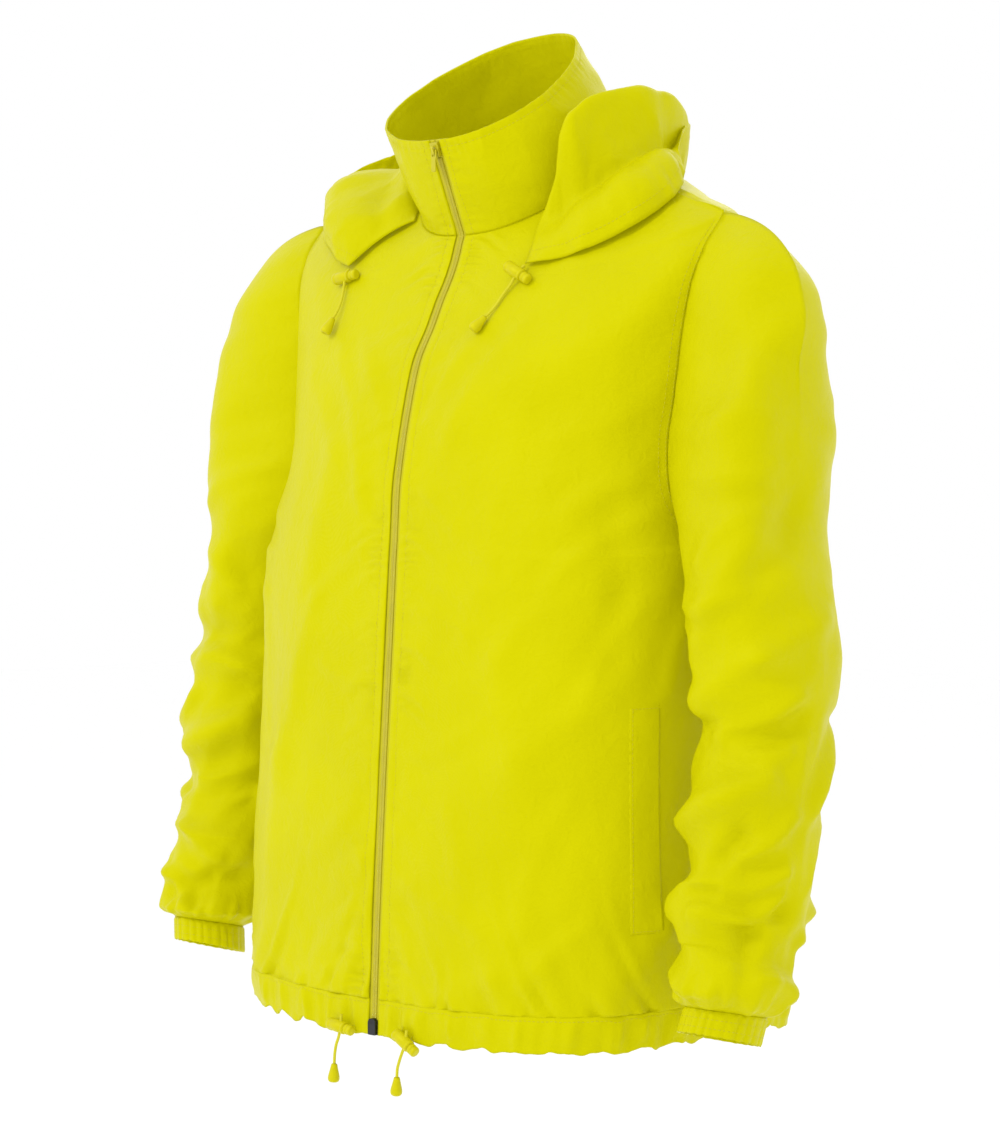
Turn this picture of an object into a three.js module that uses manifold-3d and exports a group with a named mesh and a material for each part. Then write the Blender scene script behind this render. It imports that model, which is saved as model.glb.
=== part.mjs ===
// Hooded windbreaker jacket, zipped up and filled out with no wearer. Millimetres, +Z up.
// +X is the wearer's left and the front faces -Y. The origin is the middle of the neck opening, level
// with the neck ends of the shoulder seams. Every cloth piece is a thin wall between neighbouring
// seams: its outer points come from tables of sections, and its inner points lie one wall behind them.
import * as THREE from "three";
import { mergeVertices } from "three/addons/utils/BufferGeometryUtils.js";
import Module from "manifold-3d";

const wasm = await Module();
wasm.setup();

const WALL = 1.5;
const HOOD_WALL = 1.2;
const SEAM_HALF = 0.15;
const ZIP_HALF = 5;
const ZIP_EDGE = 9;
const LAID_GAP = 0.35;

// Rows of the front, from the jacket's lower edge to the neckline. depth is how far the centre front
// lies before the origin, side is the point on the side seam, armhole or shoulder seam, turn is how
// far round the body the row has gone there, and square is the power of its rounded square.
const FRONT_ROWS = rows(
  ["midZ", "depth", "sideX", "sideY", "sideZ", "turn", "square"],
  [-650, 168, 208, 0, -642, 90, 3],
  [-624, 167, 212, 0, -616, 90, 3],
  [-560, 164, 214, 0, -552, 90, 3],
  [-430, 156, 210, 0, -424, 90, 3],
  [-360, 151, 211.5, 0, -352, 90, 3],
  [-300, 147, 210, 0, -290, 90, 3],
  [-288, 146, 206, -32, -285, 84, 2.9],
  [-272, 145, 199, -54, -268, 78, 2.8],
  [-250, 143.5, 193, -60, -245, 73, 2.7],
  [-222, 139, 190, -58, -215, 70, 2.6],
  [-190, 132, 193, -54, -180, 68, 2.5],
  [-155, 122, 198, -52, -136, 70, 2.4],
  [-128, 107, 203, -49, -104, 72, 2.4],
  [-108, 97, 207, -38, -75, 73, 2.3],
  [-94, 89, 208, -18, -50, 75, 2.3],
  [-84, 84, 175, -12, -38, 84, 2.2],
  [-74, 80, 145, -7, -27, 88, 2.2],
  [-66, 77.5, 113, -2, -15, 90, 2.1],
  [-59, 75, 84, 2, -3, 90, 2.1],
);

// The same rows across the back. Here depth is how far the centre back lies behind the origin.
const BACK_ROWS = rows(
  ["midZ", "depth", "sideX", "sideY", "sideZ", "turn", "square"],
  [-655, 128, 208, 0, -642, 90, 3],
  [-629, 128, 212, 0, -616, 90, 3],
  [-565, 127.5, 214, 0, -552, 90, 3],
  [-430, 122, 210, 0, -424, 90, 3],
  [-362, 125, 211.5, 0, -352, 90, 3],
  [-300, 128, 210, 0, -290, 90, 3],
  [-280, 128, 206, 34, -283, 84, 2.9],
  [-258, 127.5, 200, 54, -262, 78, 2.8],
  [-232, 127, 196, 58, -235, 74, 2.7],
  [-205, 125.5, 195, 54, -205, 71, 2.6],
  [-175, 121.5, 196, 48, -170, 70, 2.5],
  [-140, 114.5, 199, 38, -130, 72, 2.4],
  [-110, 107, 203, 26, -98, 73, 2.4],
  [-82, 99, 207, 8, -70, 75, 2.3],
  [-55, 92, 208, -18, -50, 77, 2.3],
  [-35, 86.5, 175, -12, -38, 85, 2.2],
  [-15, 81, 145, -7, -27, 88, 2.2],
  [4, 76, 113, -2, -15, 90, 2.1],
  [22, 70, 84, 2, -3, 90, 2.1],
);
const HEM_TOP = 1;
const ARMPIT = 5;
const SHOULDER_TIP = 14;
const NECK = 18;

const SIDE_STEPS = 12;
const ARMHOLE_STEPS = 8;
const SHOULDER_STEPS = 4;
const FRONT_COLUMNS = [0.12, 0.21, 0.3, 0.39, 0.48, 0.57, 0.66, 0.735, 0.8, 0.9, 1];
const BACK_COLUMNS = 18;

// The collar's top edge lies in a tilted plane: its front, side and back points.
// It has slipped a little to the wearer's right.
const COLLAR_TOP = {
  frontY: -104,
  frontZ: 10,
  leftX: 68,
  rightX: 90,
  sideY: -50,
  sideZ: 48,
  backY: 24,
  backZ: 101,
};
const COLLAR_SQUARE = 2;
const COLLAR_STEPS = 4;
const COLLAR_BOW = 3;
const COLLAR_FLAT_FRONT = 40;
const COLLAR_MIDDLE = new THREE.Vector3(0, -20, 20);

// Sleeve sections below the armpit, down to the top of the cuff. x and y place the middle, across and
// along are the half widths, and tilt is how much higher the front side is than the back.
const SLEEVE_LEFT = rows(
  ["z", "x", "y", "across", "along", "tilt"],
  [-330, 267, -49, 49, 59, 0],
  [-364, 271, -46, 49, 56, 0],
  [-398, 273, -50, 47, 51, 0],
  [-415, 275, -50, 43, 45, 0],
  [-446, 276, -60, 46, 48, 0],
  [-492, 275, -66, 45, 47, 0],
  [-520, 276, -68, 43, 45, 0],
  [-545, 273, -78, 46, 48, 2],
  [-566, 276, -80, 38, 39, 4],
  [-590, 276, -86, 42, 44, 5],
  [-603, 274, -89, 39, 40, 6],
  [-611, 273, -92, 28, 29, 6],
);
const SLEEVE_RIGHT = rows(
  ["z", "x", "y", "across", "along", "tilt"],
  [-330, 262, -28, 47, 57, 0],
  [-364, 269, -26, 48, 54, 0],
  [-396, 274, -30, 47, 52, 0],
  [-420, 277, -38, 46, 49, 0],
  [-446, 280, -44, 49, 51, 0],
  [-480, 277, -42, 44, 46, 0],
  [-500, 276, -50, 46, 47, 0],
  [-528, 278, -55, 42, 44, 0],
  [-552, 280, -62, 46, 47, 2],
  [-575, 281, -70, 41, 42, 4],
  [-592, 281, -76, 42, 43, 5],
  [-602, 281, -80, 27, 28, 6],
);
const SLEEVE_COLUMNS = 16;
const CAP_STEPS = 10;
const CAP_LEAVE = 1.15;
const CAP_TOP_LEAVE = 0.2;
const SLEEVE_STEPS = 17;
const CUFF_HEIGHT = 19;
const CUFF_PLEATS = 32;
const CUFF_PLEAT = 0.8;
const CUFF_STOPS = [0, 0.2, 1];
const CUFF_DRIFT = [4, -3];
const CUFF_TILT = 2 / 33;

// Folds pressed into a piece: each runs from one point of it to another and fades out over its width.
// On the fronts and the back the points are the distance across from the middle and the height. On the
// sleeves they are the angle from the outer side, through the front, and the height.
const FRONT_LEFT_FOLDS = folds(
  [205, -120, 45, -196, 22, 2.6],
  [181, -268, 192, -320, 15, -2.6],
  [192, -320, 184, -368, 15, -2.2],
  [120, -442, 182, -398, 14, 2.6],
  [102, -370, 124, -492, 20, 2.2],
  [48, -624, 106, -599, 12, 2.6],
  [106, -599, 147, -587, 12, 2.6],
  [195, -605, 240, -559, 14, 3],
);
const FRONT_RIGHT_FOLDS = folds(
  [71, -225, 120, -457, 17, 3],
  [120, -457, 139, -615, 17, 3],
  [98, -566, 151, -625, 14, 2.6],
  [46, -150, 34, -250, 14, 1.8],
  [160, -130, 168, -230, 16, -2.2],
);
const BACK_FOLDS = folds(
  [-118, -170, -64, -420, 24, 3],
  [92, -150, 138, -390, 22, -2.6],
  [-176, -520, -66, -604, 17, 3],
  [44, -566, 168, -520, 17, 2.6],
  [6, -110, 14, -300, 28, 2.2],
);
const SLEEVE_LEFT_FOLDS = folds(
  [16, -112, 52, -154, 14, -3.5],
  [9, -160, 12, -262, 24, -5],
  [-14, -170, -14, -270, 40, -6],
  [88, -206, 36, -198, 12, 2.6],
  [50, -283, 119, -365, 12, 3.6],
  [2, -261, 43, -304, 12, -3.6],
  [-7, -339, 52, -363, 11, 3.6],
  [52, -363, 115, -395, 11, 3.6],
  [43, -446, 128, -480, 11, 4],
  [60, -488, 79, -508, 10, -3.6],
  [144, -539, 79, -512, 10, 3.4],
  [10, -540, 45, -556, 10, -4],
  [115, -558, 60, -575, 10, 3.4],
  [178, -250, 246, -300, 14, 3.6],
  [200, -384, 284, -352, 12, 4],
  [192, -470, 280, -500, 12, -4],
  [222, -568, 300, -545, 11, 3.4],
);
const SLEEVE_RIGHT_FOLDS = folds(
  [32, -121, 74, -194, 14, -3],
  [92, -259, 86, -339, 14, 2.6],
  [139, -436, 79, -457, 11, 3.6],
  [148, -500, 50, -496, 10, -3.6],
  [153, -536, 50, -520, 10, 3.4],
  [160, -564, 77, -573, 10, -3.4],
  [10, -300, 62, -352, 12, 3.4],
  [352, -402, 40, -388, 12, 3.4],
  [186, -264, 252, -316, 14, 3.6],
  [206, -392, 290, -366, 12, 4],
  [196, -476, 276, -512, 12, -4],
  [226, -560, 300, -540, 11, 3.4],
);
const FOLD_FREE_EDGE = 30;
const SLEEVE_MM_PER_DEGREE = 0.85;

// The hood lies back round the neck. Each row is a section from the neckline out to the face edge:
// around is 0 at the centre front, 1 at the shoulder seam and 2 at the centre back, swing is how far
// the section turns from there by its end, and the pairs are distance along the jacket and height.
const HOOD_COLUMN_NAMES = [
  "around", "swing", "d1", "h1", "d2", "h2", "d3", "h3", "d4", "h4", "d5", "h5", "d6", "h6", "d7", "h7",
];
const HOOD_LEFT = rows(
  HOOD_COLUMN_NAMES,
  [0.52, -0.2, 6, 1.9, 13, 4, 19, 5, 26, 5, 33, 5, 41, 4, 49, 4.5],
  [0.62, -0.1, 6, 1.9, 3, 26, 9, 34, 26, 4, 40, 14, 58, 14, 73, 4],
  [0.75, 0, 6, 1.9, 1, 54, 5, 82, 30, 2, 44, 26, 68, 26, 84, 4],
  [0.9, 0, 6, 1.9, 1, 58, 8, 90, 32, 2, 48, 28, 76, 28, 88, 4],
  [1.0, 0, 6, 1.9, 1, 54, 14, 84, 34, 2, 48, 28, 70, 24, 84, 5],
  [1.08, 0, 6, 1.9, 2, 48, 18, 76, 34, 6, 42, 22, 54, 18, 64, 12],
  [1.2, 0, 6, 2, 4, 44, 18, 68, 30, 20, 34, 12, 38, 18, 38, 26],
  [1.4, 0, 6, 2, 6, 38, 20, 56, 32, 24, 32, 10, 28, 26, 22, 40],
  [1.6, 0, 6, 2, 12, 22, 26, 34, 46, 20, 50, 12, 38, 36, 20, 50],
  [2, 0, 6, 2, 40, 4, 110, 6, 180, 10, 150, 44, 76, 50, 12, 52],
);
const HOOD_RIGHT = rows(
  HOOD_COLUMN_NAMES,
  [0.5, -0.02, 6, 1.9, 14, 4, 24, 5, 34, 5, 45, 5, 58, 5, 69, 4.5],
  [0.65, -0.06, 6, 1.9, 6, 12, 14, 18, 30, 14, 46, 26, 70, 28, 82, 6],
  [0.8, 0, 6, 1.9, 5, 20, 12, 28, 34, 14, 56, 30, 88, 34, 98, 10],
  [0.95, 0, 6, 1.9, 5, 28, 12, 34, 36, 14, 64, 34, 98, 38, 106, 18],
  [1.05, 0, 6, 1.9, 5, 30, 14, 36, 38, 12, 72, 26, 106, 28, 98, 40],
  [1.15, 0, 6, 1.9, 6, 28, 18, 32, 44, 8, 80, 10, 90, 32, 66, 42],
  [1.3, 0, 6, 2, 10, 18, 24, 20, 54, 6, 84, 10, 78, 44, 34, 50],
  [1.6, 0, 6, 2, 30, 4, 70, 6, 120, 8, 112, 36, 60, 50, 14, 52],
  [2, 0, 6, 2, 40, 4, 110, 6, 190, 10, 160, 48, 80, 56, 8, 58],
);
const HOOD_COLUMNS = 18;
const HOOD_STEPS = 12;

const HEM_STEPS = 2;
const HEM_PITCH = 10;
const HEM_WAVE = 2.2;
const HEM_WAVE_LENGTH = 31;
const HEM_SCALLOP = 2;
const HEM_SCALLOP_LAG = 1.1;
const HEM_FLARE = 1.5;
const HEM_FREE_END = 25;
const HEM_UNEVEN = 0.9;
const HEM_UNEVEN_LENGTH = 17;
const HEM_RISE_RIGHT = 10;
const HEM_RISE_ROWS = 3;
const SHOULDER_RISE_RIGHT = 12;

const TAPE_WALL = 0.8;
const TAPE_GAP = 0.6;
const CHAIN_HALF = 2.6;
const CHAIN_WALL = 1.2;
const CHAIN_END_GAP = 0.8;
const TAPE_MIDDLE = 0.4;
const BOX_TOP = -638;
const BOX_FOOT = -650;
const BOX_HALF = 3.8;
const BOX_DEEP = 3.6;
const SLIDER_Z = 3.5;
const SLIDER_WIDE = 8;
const SLIDER_HIGH = 11;
const SLIDER_DEEP = 3.2;
const SLIDER_BACK = 1.4;
const BRIDGE_OPEN = 1.9;
const BRIDGE_THICK = 1;
const BRIDGE_LONG = 6.8;
const BRIDGE_WIDE = 2;
const PULL_WIDE = 5;
const PULL_THICK = 1;
const PULL_LONG = 16;
const PULL_EYE = 5.4;

const WELT_SHARES = [0.66, 0.735];
const WELT_FOOT = -575;
const WELT_TOP = -415;
const WELT_WALL = 1.2;

const CORD_DIAMETER = 2.2;
const CORD_SIDES = 8;
const CORD_STEPS = 8;
const BELL_PROFILE = [[0, 0], [2.2, 0], [4.3, 9], [4.3, 12], [3, 14], [0, 14]];
const LOCK_PROFILE = [[0, -12.5], [3.8, -12.5], [3.9, -6.4], [3.1, -6.2], [3.1, -5.2], [4.6, -5], [4.6, 10.6],
  [3.6, 12.2], [0, 12.2]];

const NYLON = { color: 0xd7d203, roughness: 0.5, metalness: 0 };
const TAPE = { color: 0xbdb40a, roughness: 0.7, metalness: 0 };
const COIL = { color: 0xa9a00c, roughness: 0.45, metalness: 0 };
const LACQUER = { color: 0xb0a80a, roughness: 0.35, metalness: 0.3 };
const DARK_METAL = { color: 0x3a3c40, roughness: 0.35, metalness: 0.7 };
const MOULDED = { color: 0xa79c08, roughness: 0.45, metalness: 0 };
const CORD = { color: 0xb5ac0a, roughness: 0.75, metalness: 0 };

function rows(names, ...data) {
  const columns = {};
  names.forEach((name, i) => {
    columns[name] = data.map((row) => row[i]);
  });
  const last = data.length - 1;
  return { last, at: (t) => Object.fromEntries(names.map((name) => [name, between(columns[name], t)])) };
}

// A smooth value between table rows that never overshoots them.
function between(values, t) {
  const last = values.length - 1;
  const i = Math.min(Math.max(Math.floor(t), 0), last - 1);
  const u = t - i;
  const step = (k) => values[Math.min(k + 1, last)] - values[Math.max(k, 0)];
  const slope = (k) => {
    if (k === 0) return step(0);
    if (k === last) return step(last - 1);
    const a = step(k - 1);
    const b = step(k);
    return a * b > 0 ? (2 * a * b) / (a + b) : 0;
  };
  const u2 = u * u;
  const u3 = u2 * u;
  return (
    (2 * u3 - 3 * u2 + 1) * values[i] +
    (u3 - 2 * u2 + u) * slope(i) +
    (3 * u2 - 2 * u3) * values[i + 1] +
    (u3 - u2) * slope(i + 1)
  );
}

function smooth(x) {
  const u = Math.min(Math.max(x, 0), 1);
  return u * u * (3 - 2 * u);
}

function folds(...data) {
  return data.map(([p0, q0, p1, q1, width, height]) => ({ p0, q0, p1, q1, width, height }));
}

function foldHeight(list, p, q, scale = 1) {
  let sum = 0;
  for (const f of list) {
    const dx = (f.p1 - f.p0) * scale;
    const dy = f.q1 - f.q0;
    const x = (p - f.p0) * scale;
    const y = q - f.q0;
    const along = Math.min(Math.max((x * dx + y * dy) / (dx * dx + dy * dy), 0), 1);
    const far = Math.hypot(x - along * dx, y - along * dy) / f.width;
    sum += f.height * Math.exp(-far * far);
  }
  return sum;
}

// One row of the body from the middle of the front or back to its side point, by share of its length.
const rowCache = new Map();
function bodyRow(front, t) {
  const key = `${front} ${t}`;
  if (rowCache.has(key)) return rowCache.get(key);
  const samples = 90;
  const r = (front ? FRONT_ROWS : BACK_ROWS).at(t);
  const midX = front ? ZIP_HALF : 0;
  const midY = front ? -r.depth : r.depth;
  const power = 2 / r.square;
  const turn = THREE.MathUtils.degToRad(r.turn);
  const endSin = Math.sin(turn) ** power;
  const endCos = Math.max(Math.cos(turn), 0) ** power;
  const points = [];
  const reach = [0];
  for (let i = 0; i <= samples; i++) {
    const angle = turn * smooth(i / samples);
    const out = Math.sin(angle) ** power / endSin;
    const back = (Math.max(Math.cos(angle), 0) ** power - endCos) / (1 - endCos);
    points.push(
      new THREE.Vector3(
        midX + (r.sideX - midX) * out,
        r.sideY + (midY - r.sideY) * back,
        r.sideZ + (r.midZ - r.sideZ) * back,
      ),
    );
    if (i > 0) reach.push(reach[i - 1] + points[i].distanceTo(points[i - 1]));
  }
  const length = reach[samples];
  const at = (share) => {
    const target = Math.min(Math.max(share, 0), 1) * length;
    let i = 1;
    while (i < samples && reach[i] < target) i++;
    const u = (target - reach[i - 1]) / (reach[i] - reach[i - 1]);
    return points[i - 1].clone().lerp(points[i], u);
  };
  const row = { length, at };
  rowCache.set(key, row);
  return row;
}

function surfaceNormal(place, a, b, stepA, stepB) {
  const alongA = place(a + stepA, b).sub(place(a - stepA, b));
  const alongB = place(a, b + stepB).sub(place(a, b - stepB));
  return alongA.cross(alongB).normalize();
}

// A point of the body's outer surface, with its folds, mirrored for the right side.
function bodyPoint(front, side, t, share) {
  const plain = (tt, ss) => {
    const clampedT = Math.min(Math.max(tt, 0), NECK);
    return bodyRow(front, clampedT).at(ss);
  };
  const point = plain(t, share);
  const across = share * bodyRow(front, t).length;
  let list = BACK_FOLDS;
  let signed = side * across;
  if (front) {
    list = side > 0 ? FRONT_LEFT_FOLDS : FRONT_RIGHT_FOLDS;
    signed = across;
  }
  if (list.length > 0) {
    const edges = [(1 - share) * bodyRow(front, t).length, (NECK - t) * 15];
    if (front) edges.push(across);
    const fade = edges.reduce((all, edge) => all * smooth(edge / FOLD_FREE_EDGE), 1);
    const normal = surfaceNormal(plain, Math.min(t, NECK - 0.05), Math.min(Math.max(share, 0.01), 0.99), 0.05, 0.01);
    if (normal.x * point.x + normal.y * point.y < 0) normal.negate();
    point.addScaledVector(normal, fade * foldHeight(list, signed, point.z));
  }
  if (side < 0) {
    const hem = smooth((HEM_RISE_ROWS - t) / HEM_RISE_ROWS);
    const shoulder = smooth((t - 8) / 5) * smooth((NECK - t) / 3);
    point.z += smooth(share) * (HEM_RISE_RIGHT * hem + SHOULDER_RISE_RIGHT * shoulder);
  }
  point.x *= side;
  return point;
}

function rowAtHeight(z) {
  let low = 0;
  let high = NECK;
  for (let i = 0; i < 40; i++) {
    const mid = (low + high) / 2;
    if (FRONT_ROWS.at(mid).midZ < z) low = mid;
    else high = mid;
  }
  return low;
}

// The rows that the fronts and the back share, from the hem casing to the neckline.
function bodyRowStops() {
  const stops = [];
  const low = FRONT_ROWS.at(HEM_TOP).midZ;
  const high = FRONT_ROWS.at(ARMPIT).midZ;
  for (let i = 0; i < SIDE_STEPS; i++) stops.push(rowAtHeight(low + ((high - low) * i) / SIDE_STEPS));
  for (let i = 0; i < ARMHOLE_STEPS; i++) stops.push(ARMPIT + ((SHOULDER_TIP - ARMPIT) * i) / ARMHOLE_STEPS);
  for (let i = 0; i <= SHOULDER_STEPS; i++) {
    stops.push(SHOULDER_TIP + ((NECK - SHOULDER_TIP) * i) / SHOULDER_STEPS);
  }
  stops[0] = HEM_TOP;
  return stops;
}
const BODY_STOPS = bodyRowStops();

function frontShares(t) {
  const edge = ZIP_EDGE / bodyRow(true, t).length;
  return [0, edge, ...FRONT_COLUMNS];
}

function frontGrid(side, stops) {
  return stops.map((t) => frontShares(t).map((share) => bodyPoint(true, side, t, share)));
}

function backGrid(stops) {
  return stops.map((t) => {
    const line = [];
    for (let i = 0; i <= BACK_COLUMNS; i++) {
      const share = (2 * i) / BACK_COLUMNS - 1;
      line.push(bodyPoint(false, Math.sign(share) || 1, t, Math.abs(share)));
    }
    return line;
  });
}

// A grid's outward normals, one for each point.
function gridNormals(grid, closed, inside) {
  const last = grid.length - 1;
  const wide = grid[0].length;
  const normals = grid.map((line) => line.map(() => new THREE.Vector3()));
  const spans = closed ? wide : wide - 1;
  for (let i = 0; i < last; i++) {
    for (let j = 0; j < spans; j++) {
      const k = (j + 1) % wide;
      const rise = grid[i + 1][k].clone().sub(grid[i][j]);
      const run = grid[i + 1][j].clone().sub(grid[i][k]);
      const face = rise.cross(run);
      for (const [a, b] of [[i, j], [i, k], [i + 1, j], [i + 1, k]]) normals[a][b].add(face);
    }
  }
  let facing = 0;
  grid.forEach((line, i) => {
    const middle = inside(line, i);
    line.forEach((point, j) => {
      facing += normals[i][j].dot(point.clone().sub(middle));
    });
  });
  if (facing < 0) normals.forEach((line) => line.forEach((n) => n.negate()));
  return normals;
}

const bodyAxis = (line) => new THREE.Vector3(0, 0, line[0].z);
const ringMiddle = (line) => line.reduce((sum, p) => sum.add(p), new THREE.Vector3()).divideScalar(line.length);

const seamNormals = new Map();
const seamKey = (p) => `${p.x.toFixed(2)} ${p.y.toFixed(2)} ${p.z.toFixed(2)}`;

// A piece of cloth: its outer points and their normals, which meet those of the next piece at a seam.
function cloth(grid, closed, inside) {
  const normals = gridNormals(grid, closed, inside);
  grid.forEach((line, i) => {
    line.forEach((point, j) => {
      const key = seamKey(point);
      if (!seamNormals.has(key)) seamNormals.set(key, new THREE.Vector3());
      seamNormals.get(key).add(normals[i][j]);
    });
  });
  return { grid, closed };
}

function seamedNormals(piece) {
  return piece.grid.map((line) => line.map((point) => seamNormals.get(seamKey(point)).clone().normalize()));
}

// Draws a grid's edge points back from the seam line, into their own piece.
function seamDrawn(grid, closed) {
  const last = grid.length - 1;
  const wide = grid[0].length;
  return grid.map((line, i) =>
    line.map((point, j) => {
      const moved = point.clone();
      const toward = (other) => moved.add(other.clone().sub(point).setLength(SEAM_HALF));
      if (i === 0) toward(grid[1][j]);
      if (i === last) toward(grid[last - 1][j]);
      if (!closed && j === 0) toward(line[1]);
      if (!closed && j === wide - 1) toward(line[wide - 2]);
      return moved;
    }),
  );
}

// Closes a wall between two grids of points.
function wallBetween(outer, inner, closed) {
  const high = outer.length;
  const wide = outer[0].length;
  const positions = [];
  for (const grid of [outer, inner]) {
    for (const line of grid) for (const p of line) positions.push(p.x, p.y, p.z);
  }
  const index = [];
  const at = (layer, i, j) => layer * high * wide + i * wide + (j % wide);
  const quad = (a, b, c, d) => index.push(a, b, c, a, c, d);
  const spans = closed ? wide : wide - 1;
  for (let i = 0; i < high - 1; i++) {
    for (let j = 0; j < spans; j++) {
      quad(at(0, i, j), at(0, i, j + 1), at(0, i + 1, j + 1), at(0, i + 1, j));
      quad(at(1, i, j), at(1, i + 1, j), at(1, i + 1, j + 1), at(1, i, j + 1));
    }
  }
  for (let j = 0; j < spans; j++) {
    quad(at(0, 0, j), at(1, 0, j), at(1, 0, j + 1), at(0, 0, j + 1));
    quad(at(0, high - 1, j), at(0, high - 1, j + 1), at(1, high - 1, j + 1), at(1, high - 1, j));
  }
  if (!closed) {
    for (let i = 0; i < high - 1; i++) {
      quad(at(0, i, 0), at(0, i + 1, 0), at(1, i + 1, 0), at(1, i, 0));
      quad(at(0, i, wide - 1), at(1, i, wide - 1), at(1, i + 1, wide - 1), at(0, i + 1, wide - 1));
    }
  }
  if (signedVolume(positions, index) < 0) {
    for (let i = 0; i < index.length; i += 3) [index[i], index[i + 1]] = [index[i + 1], index[i]];
  }
  const geometry = new THREE.BufferGeometry();
  geometry.setAttribute("position", new THREE.Float32BufferAttribute(positions, 3));
  geometry.setIndex(index);
  geometry.computeVertexNormals();
  return geometry;
}

function signedVolume(positions, index) {
  const corner = (i) => new THREE.Vector3().fromArray(positions, 3 * index[i]);
  let volume = 0;
  for (let i = 0; i < index.length; i += 3) volume += corner(i).dot(corner(i + 1).cross(corner(i + 2)));
  return volume / 6;
}

const jacket = new THREE.Group();
function add(name, geometry, finish, parent = jacket) {
  const mesh = new THREE.Mesh(geometry, new THREE.MeshStandardMaterial(finish));
  mesh.name = name;
  parent.add(mesh);
  return mesh;
}

function addCloth(name, piece, normals, finish = NYLON, thickness = WALL) {
  const outer = seamDrawn(piece.grid, piece.closed);
  const inner = outer.map((line, i) => line.map((p, j) => p.clone().addScaledVector(normals[i][j], -thickness)));
  add(name, wallBetween(outer, inner, piece.closed), finish);
}

// The collar stands on the neckline, from the right zip edge round the back to the left one.
function collarGrid() {
  const low = [
    ...frontShares(NECK).map((share) => bodyPoint(true, -1, NECK, share)),
    ...backGrid([NECK])[0].slice(1, -1),
    ...frontShares(NECK).map((share) => bodyPoint(true, 1, NECK, share)).reverse(),
  ];
  const c = COLLAR_TOP;
  const power = 2 / COLLAR_SQUARE;
  const topPoint = (side, front, share) => {
    const angle = (share * Math.PI) / 2;
    const out = Math.sin(angle) ** power;
    const back = Math.max(Math.cos(angle), 0) ** power;
    const midX = front ? ZIP_HALF : 0;
    const endY = front ? c.frontY : c.backY;
    const endZ = front ? c.frontZ : c.backZ;
    return new THREE.Vector3(
      side * (midX + ((side > 0 ? c.leftX : c.rightX) - midX) * out),
      c.sideY + (endY - c.sideY) * back,
      c.sideZ + (endZ - c.sideZ) * back,
    );
  };
  const top = [
    ...frontShares(NECK).map((share) => topPoint(-1, true, share)),
    ...Array.from({ length: BACK_COLUMNS - 1 }, (_, i) => {
      const share = (2 * (i + 1)) / BACK_COLUMNS - 1;
      return topPoint(Math.sign(share) || 1, false, Math.abs(share));
    }),
    ...frontShares(NECK).map((share) => topPoint(1, true, share)).reverse(),
  ];
  const grid = [];
  for (let i = 0; i <= COLLAR_STEPS; i++) {
    const u = i / COLLAR_STEPS;
    grid.push(
      low.map((p, j) => {
        const point = p.clone().lerp(top[j], u);
        const out = point.clone().sub(COLLAR_MIDDLE).setZ(0).normalize();
        const bow = COLLAR_BOW * Math.sin(Math.PI * u) * smooth(Math.abs(point.x) / COLLAR_FLAT_FRONT);
        return point.addScaledVector(out, bow);
      }),
    );
  }
  return grid;
}

// A sleeve: its cap springs from the armhole and turns down into the rings of the table. A place on it
// is a row, counted from the armhole, and a column, counted from the outer side through the front.
function armholePoint(side, column) {
  const half = SLEEVE_COLUMNS / 2;
  const span = SHOULDER_TIP - ARMPIT;
  const front = column <= half;
  const t = front ? SHOULDER_TIP - (span * column) / half : ARMPIT + (span * (column - half)) / half;
  const point = bodyPoint(front, side, t, 1);
  point.x *= side;
  return point;
}

function sleeveRing(table, t, angle) {
  const r = table.at(t);
  const sin = Math.sin(angle);
  return new THREE.Vector3(r.x + r.across * Math.cos(angle), r.y - r.along * sin, r.z + r.tilt * sin);
}

function sleevePoint(side, table, row, column) {
  const angle = (2 * Math.PI * column) / SLEEVE_COLUMNS;
  if (row > CAP_STEPS) return sleeveRing(table, (table.last * (row - CAP_STEPS)) / SLEEVE_STEPS, angle);
  const cos = Math.cos(angle);
  const start = armholePoint(side, column);
  const end = sleeveRing(table, 0, angle);
  const chord = start.distanceTo(end);
  const leave = new THREE.Vector3(0.66 + 0.3 * cos, -0.4 * Math.sin(angle) - 0.12, -0.5 + 0.4 * cos);
  const arrive = new THREE.Vector3(0.05 + 0.06 * cos, 0, -1);
  leave.setLength((CAP_LEAVE + CAP_TOP_LEAVE * cos) * chord);
  return hermite(start, leave, end, arrive.setLength(chord), row / CAP_STEPS);
}

function sleeveGrid(side, table, list) {
  const total = CAP_STEPS + SLEEVE_STEPS;
  const grid = [];
  for (let i = 0; i <= total; i++) {
    grid.push(Array.from({ length: SLEEVE_COLUMNS }, (_, k) => sleevePoint(side, table, i, k)));
  }
  const normals = gridNormals(grid, true, ringMiddle);
  grid.forEach((line, i) => {
    const fade = smooth(i / 3) * smooth((total - i) / 2);
    line.forEach((point, k) => {
      const degrees = (360 * k) / SLEEVE_COLUMNS;
      const height = [-360, 0, 360].reduce(
        (sum, turn) => sum + foldHeight(list, degrees + turn, point.z, SLEEVE_MM_PER_DEGREE),
        0,
      );
      point.addScaledVector(normals[i][k].normalize(), fade * height);
      point.x *= side;
    });
  });
  return grid;
}

function hermite(p0, m0, p1, m1, u) {
  const u2 = u * u;
  const u3 = u2 * u;
  return new THREE.Vector3()
    .addScaledVector(p0, 2 * u3 - 3 * u2 + 1)
    .addScaledVector(m0, u3 - 2 * u2 + u)
    .addScaledVector(p1, 3 * u2 - 2 * u3)
    .addScaledVector(m1, u3 - u2);
}

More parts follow.
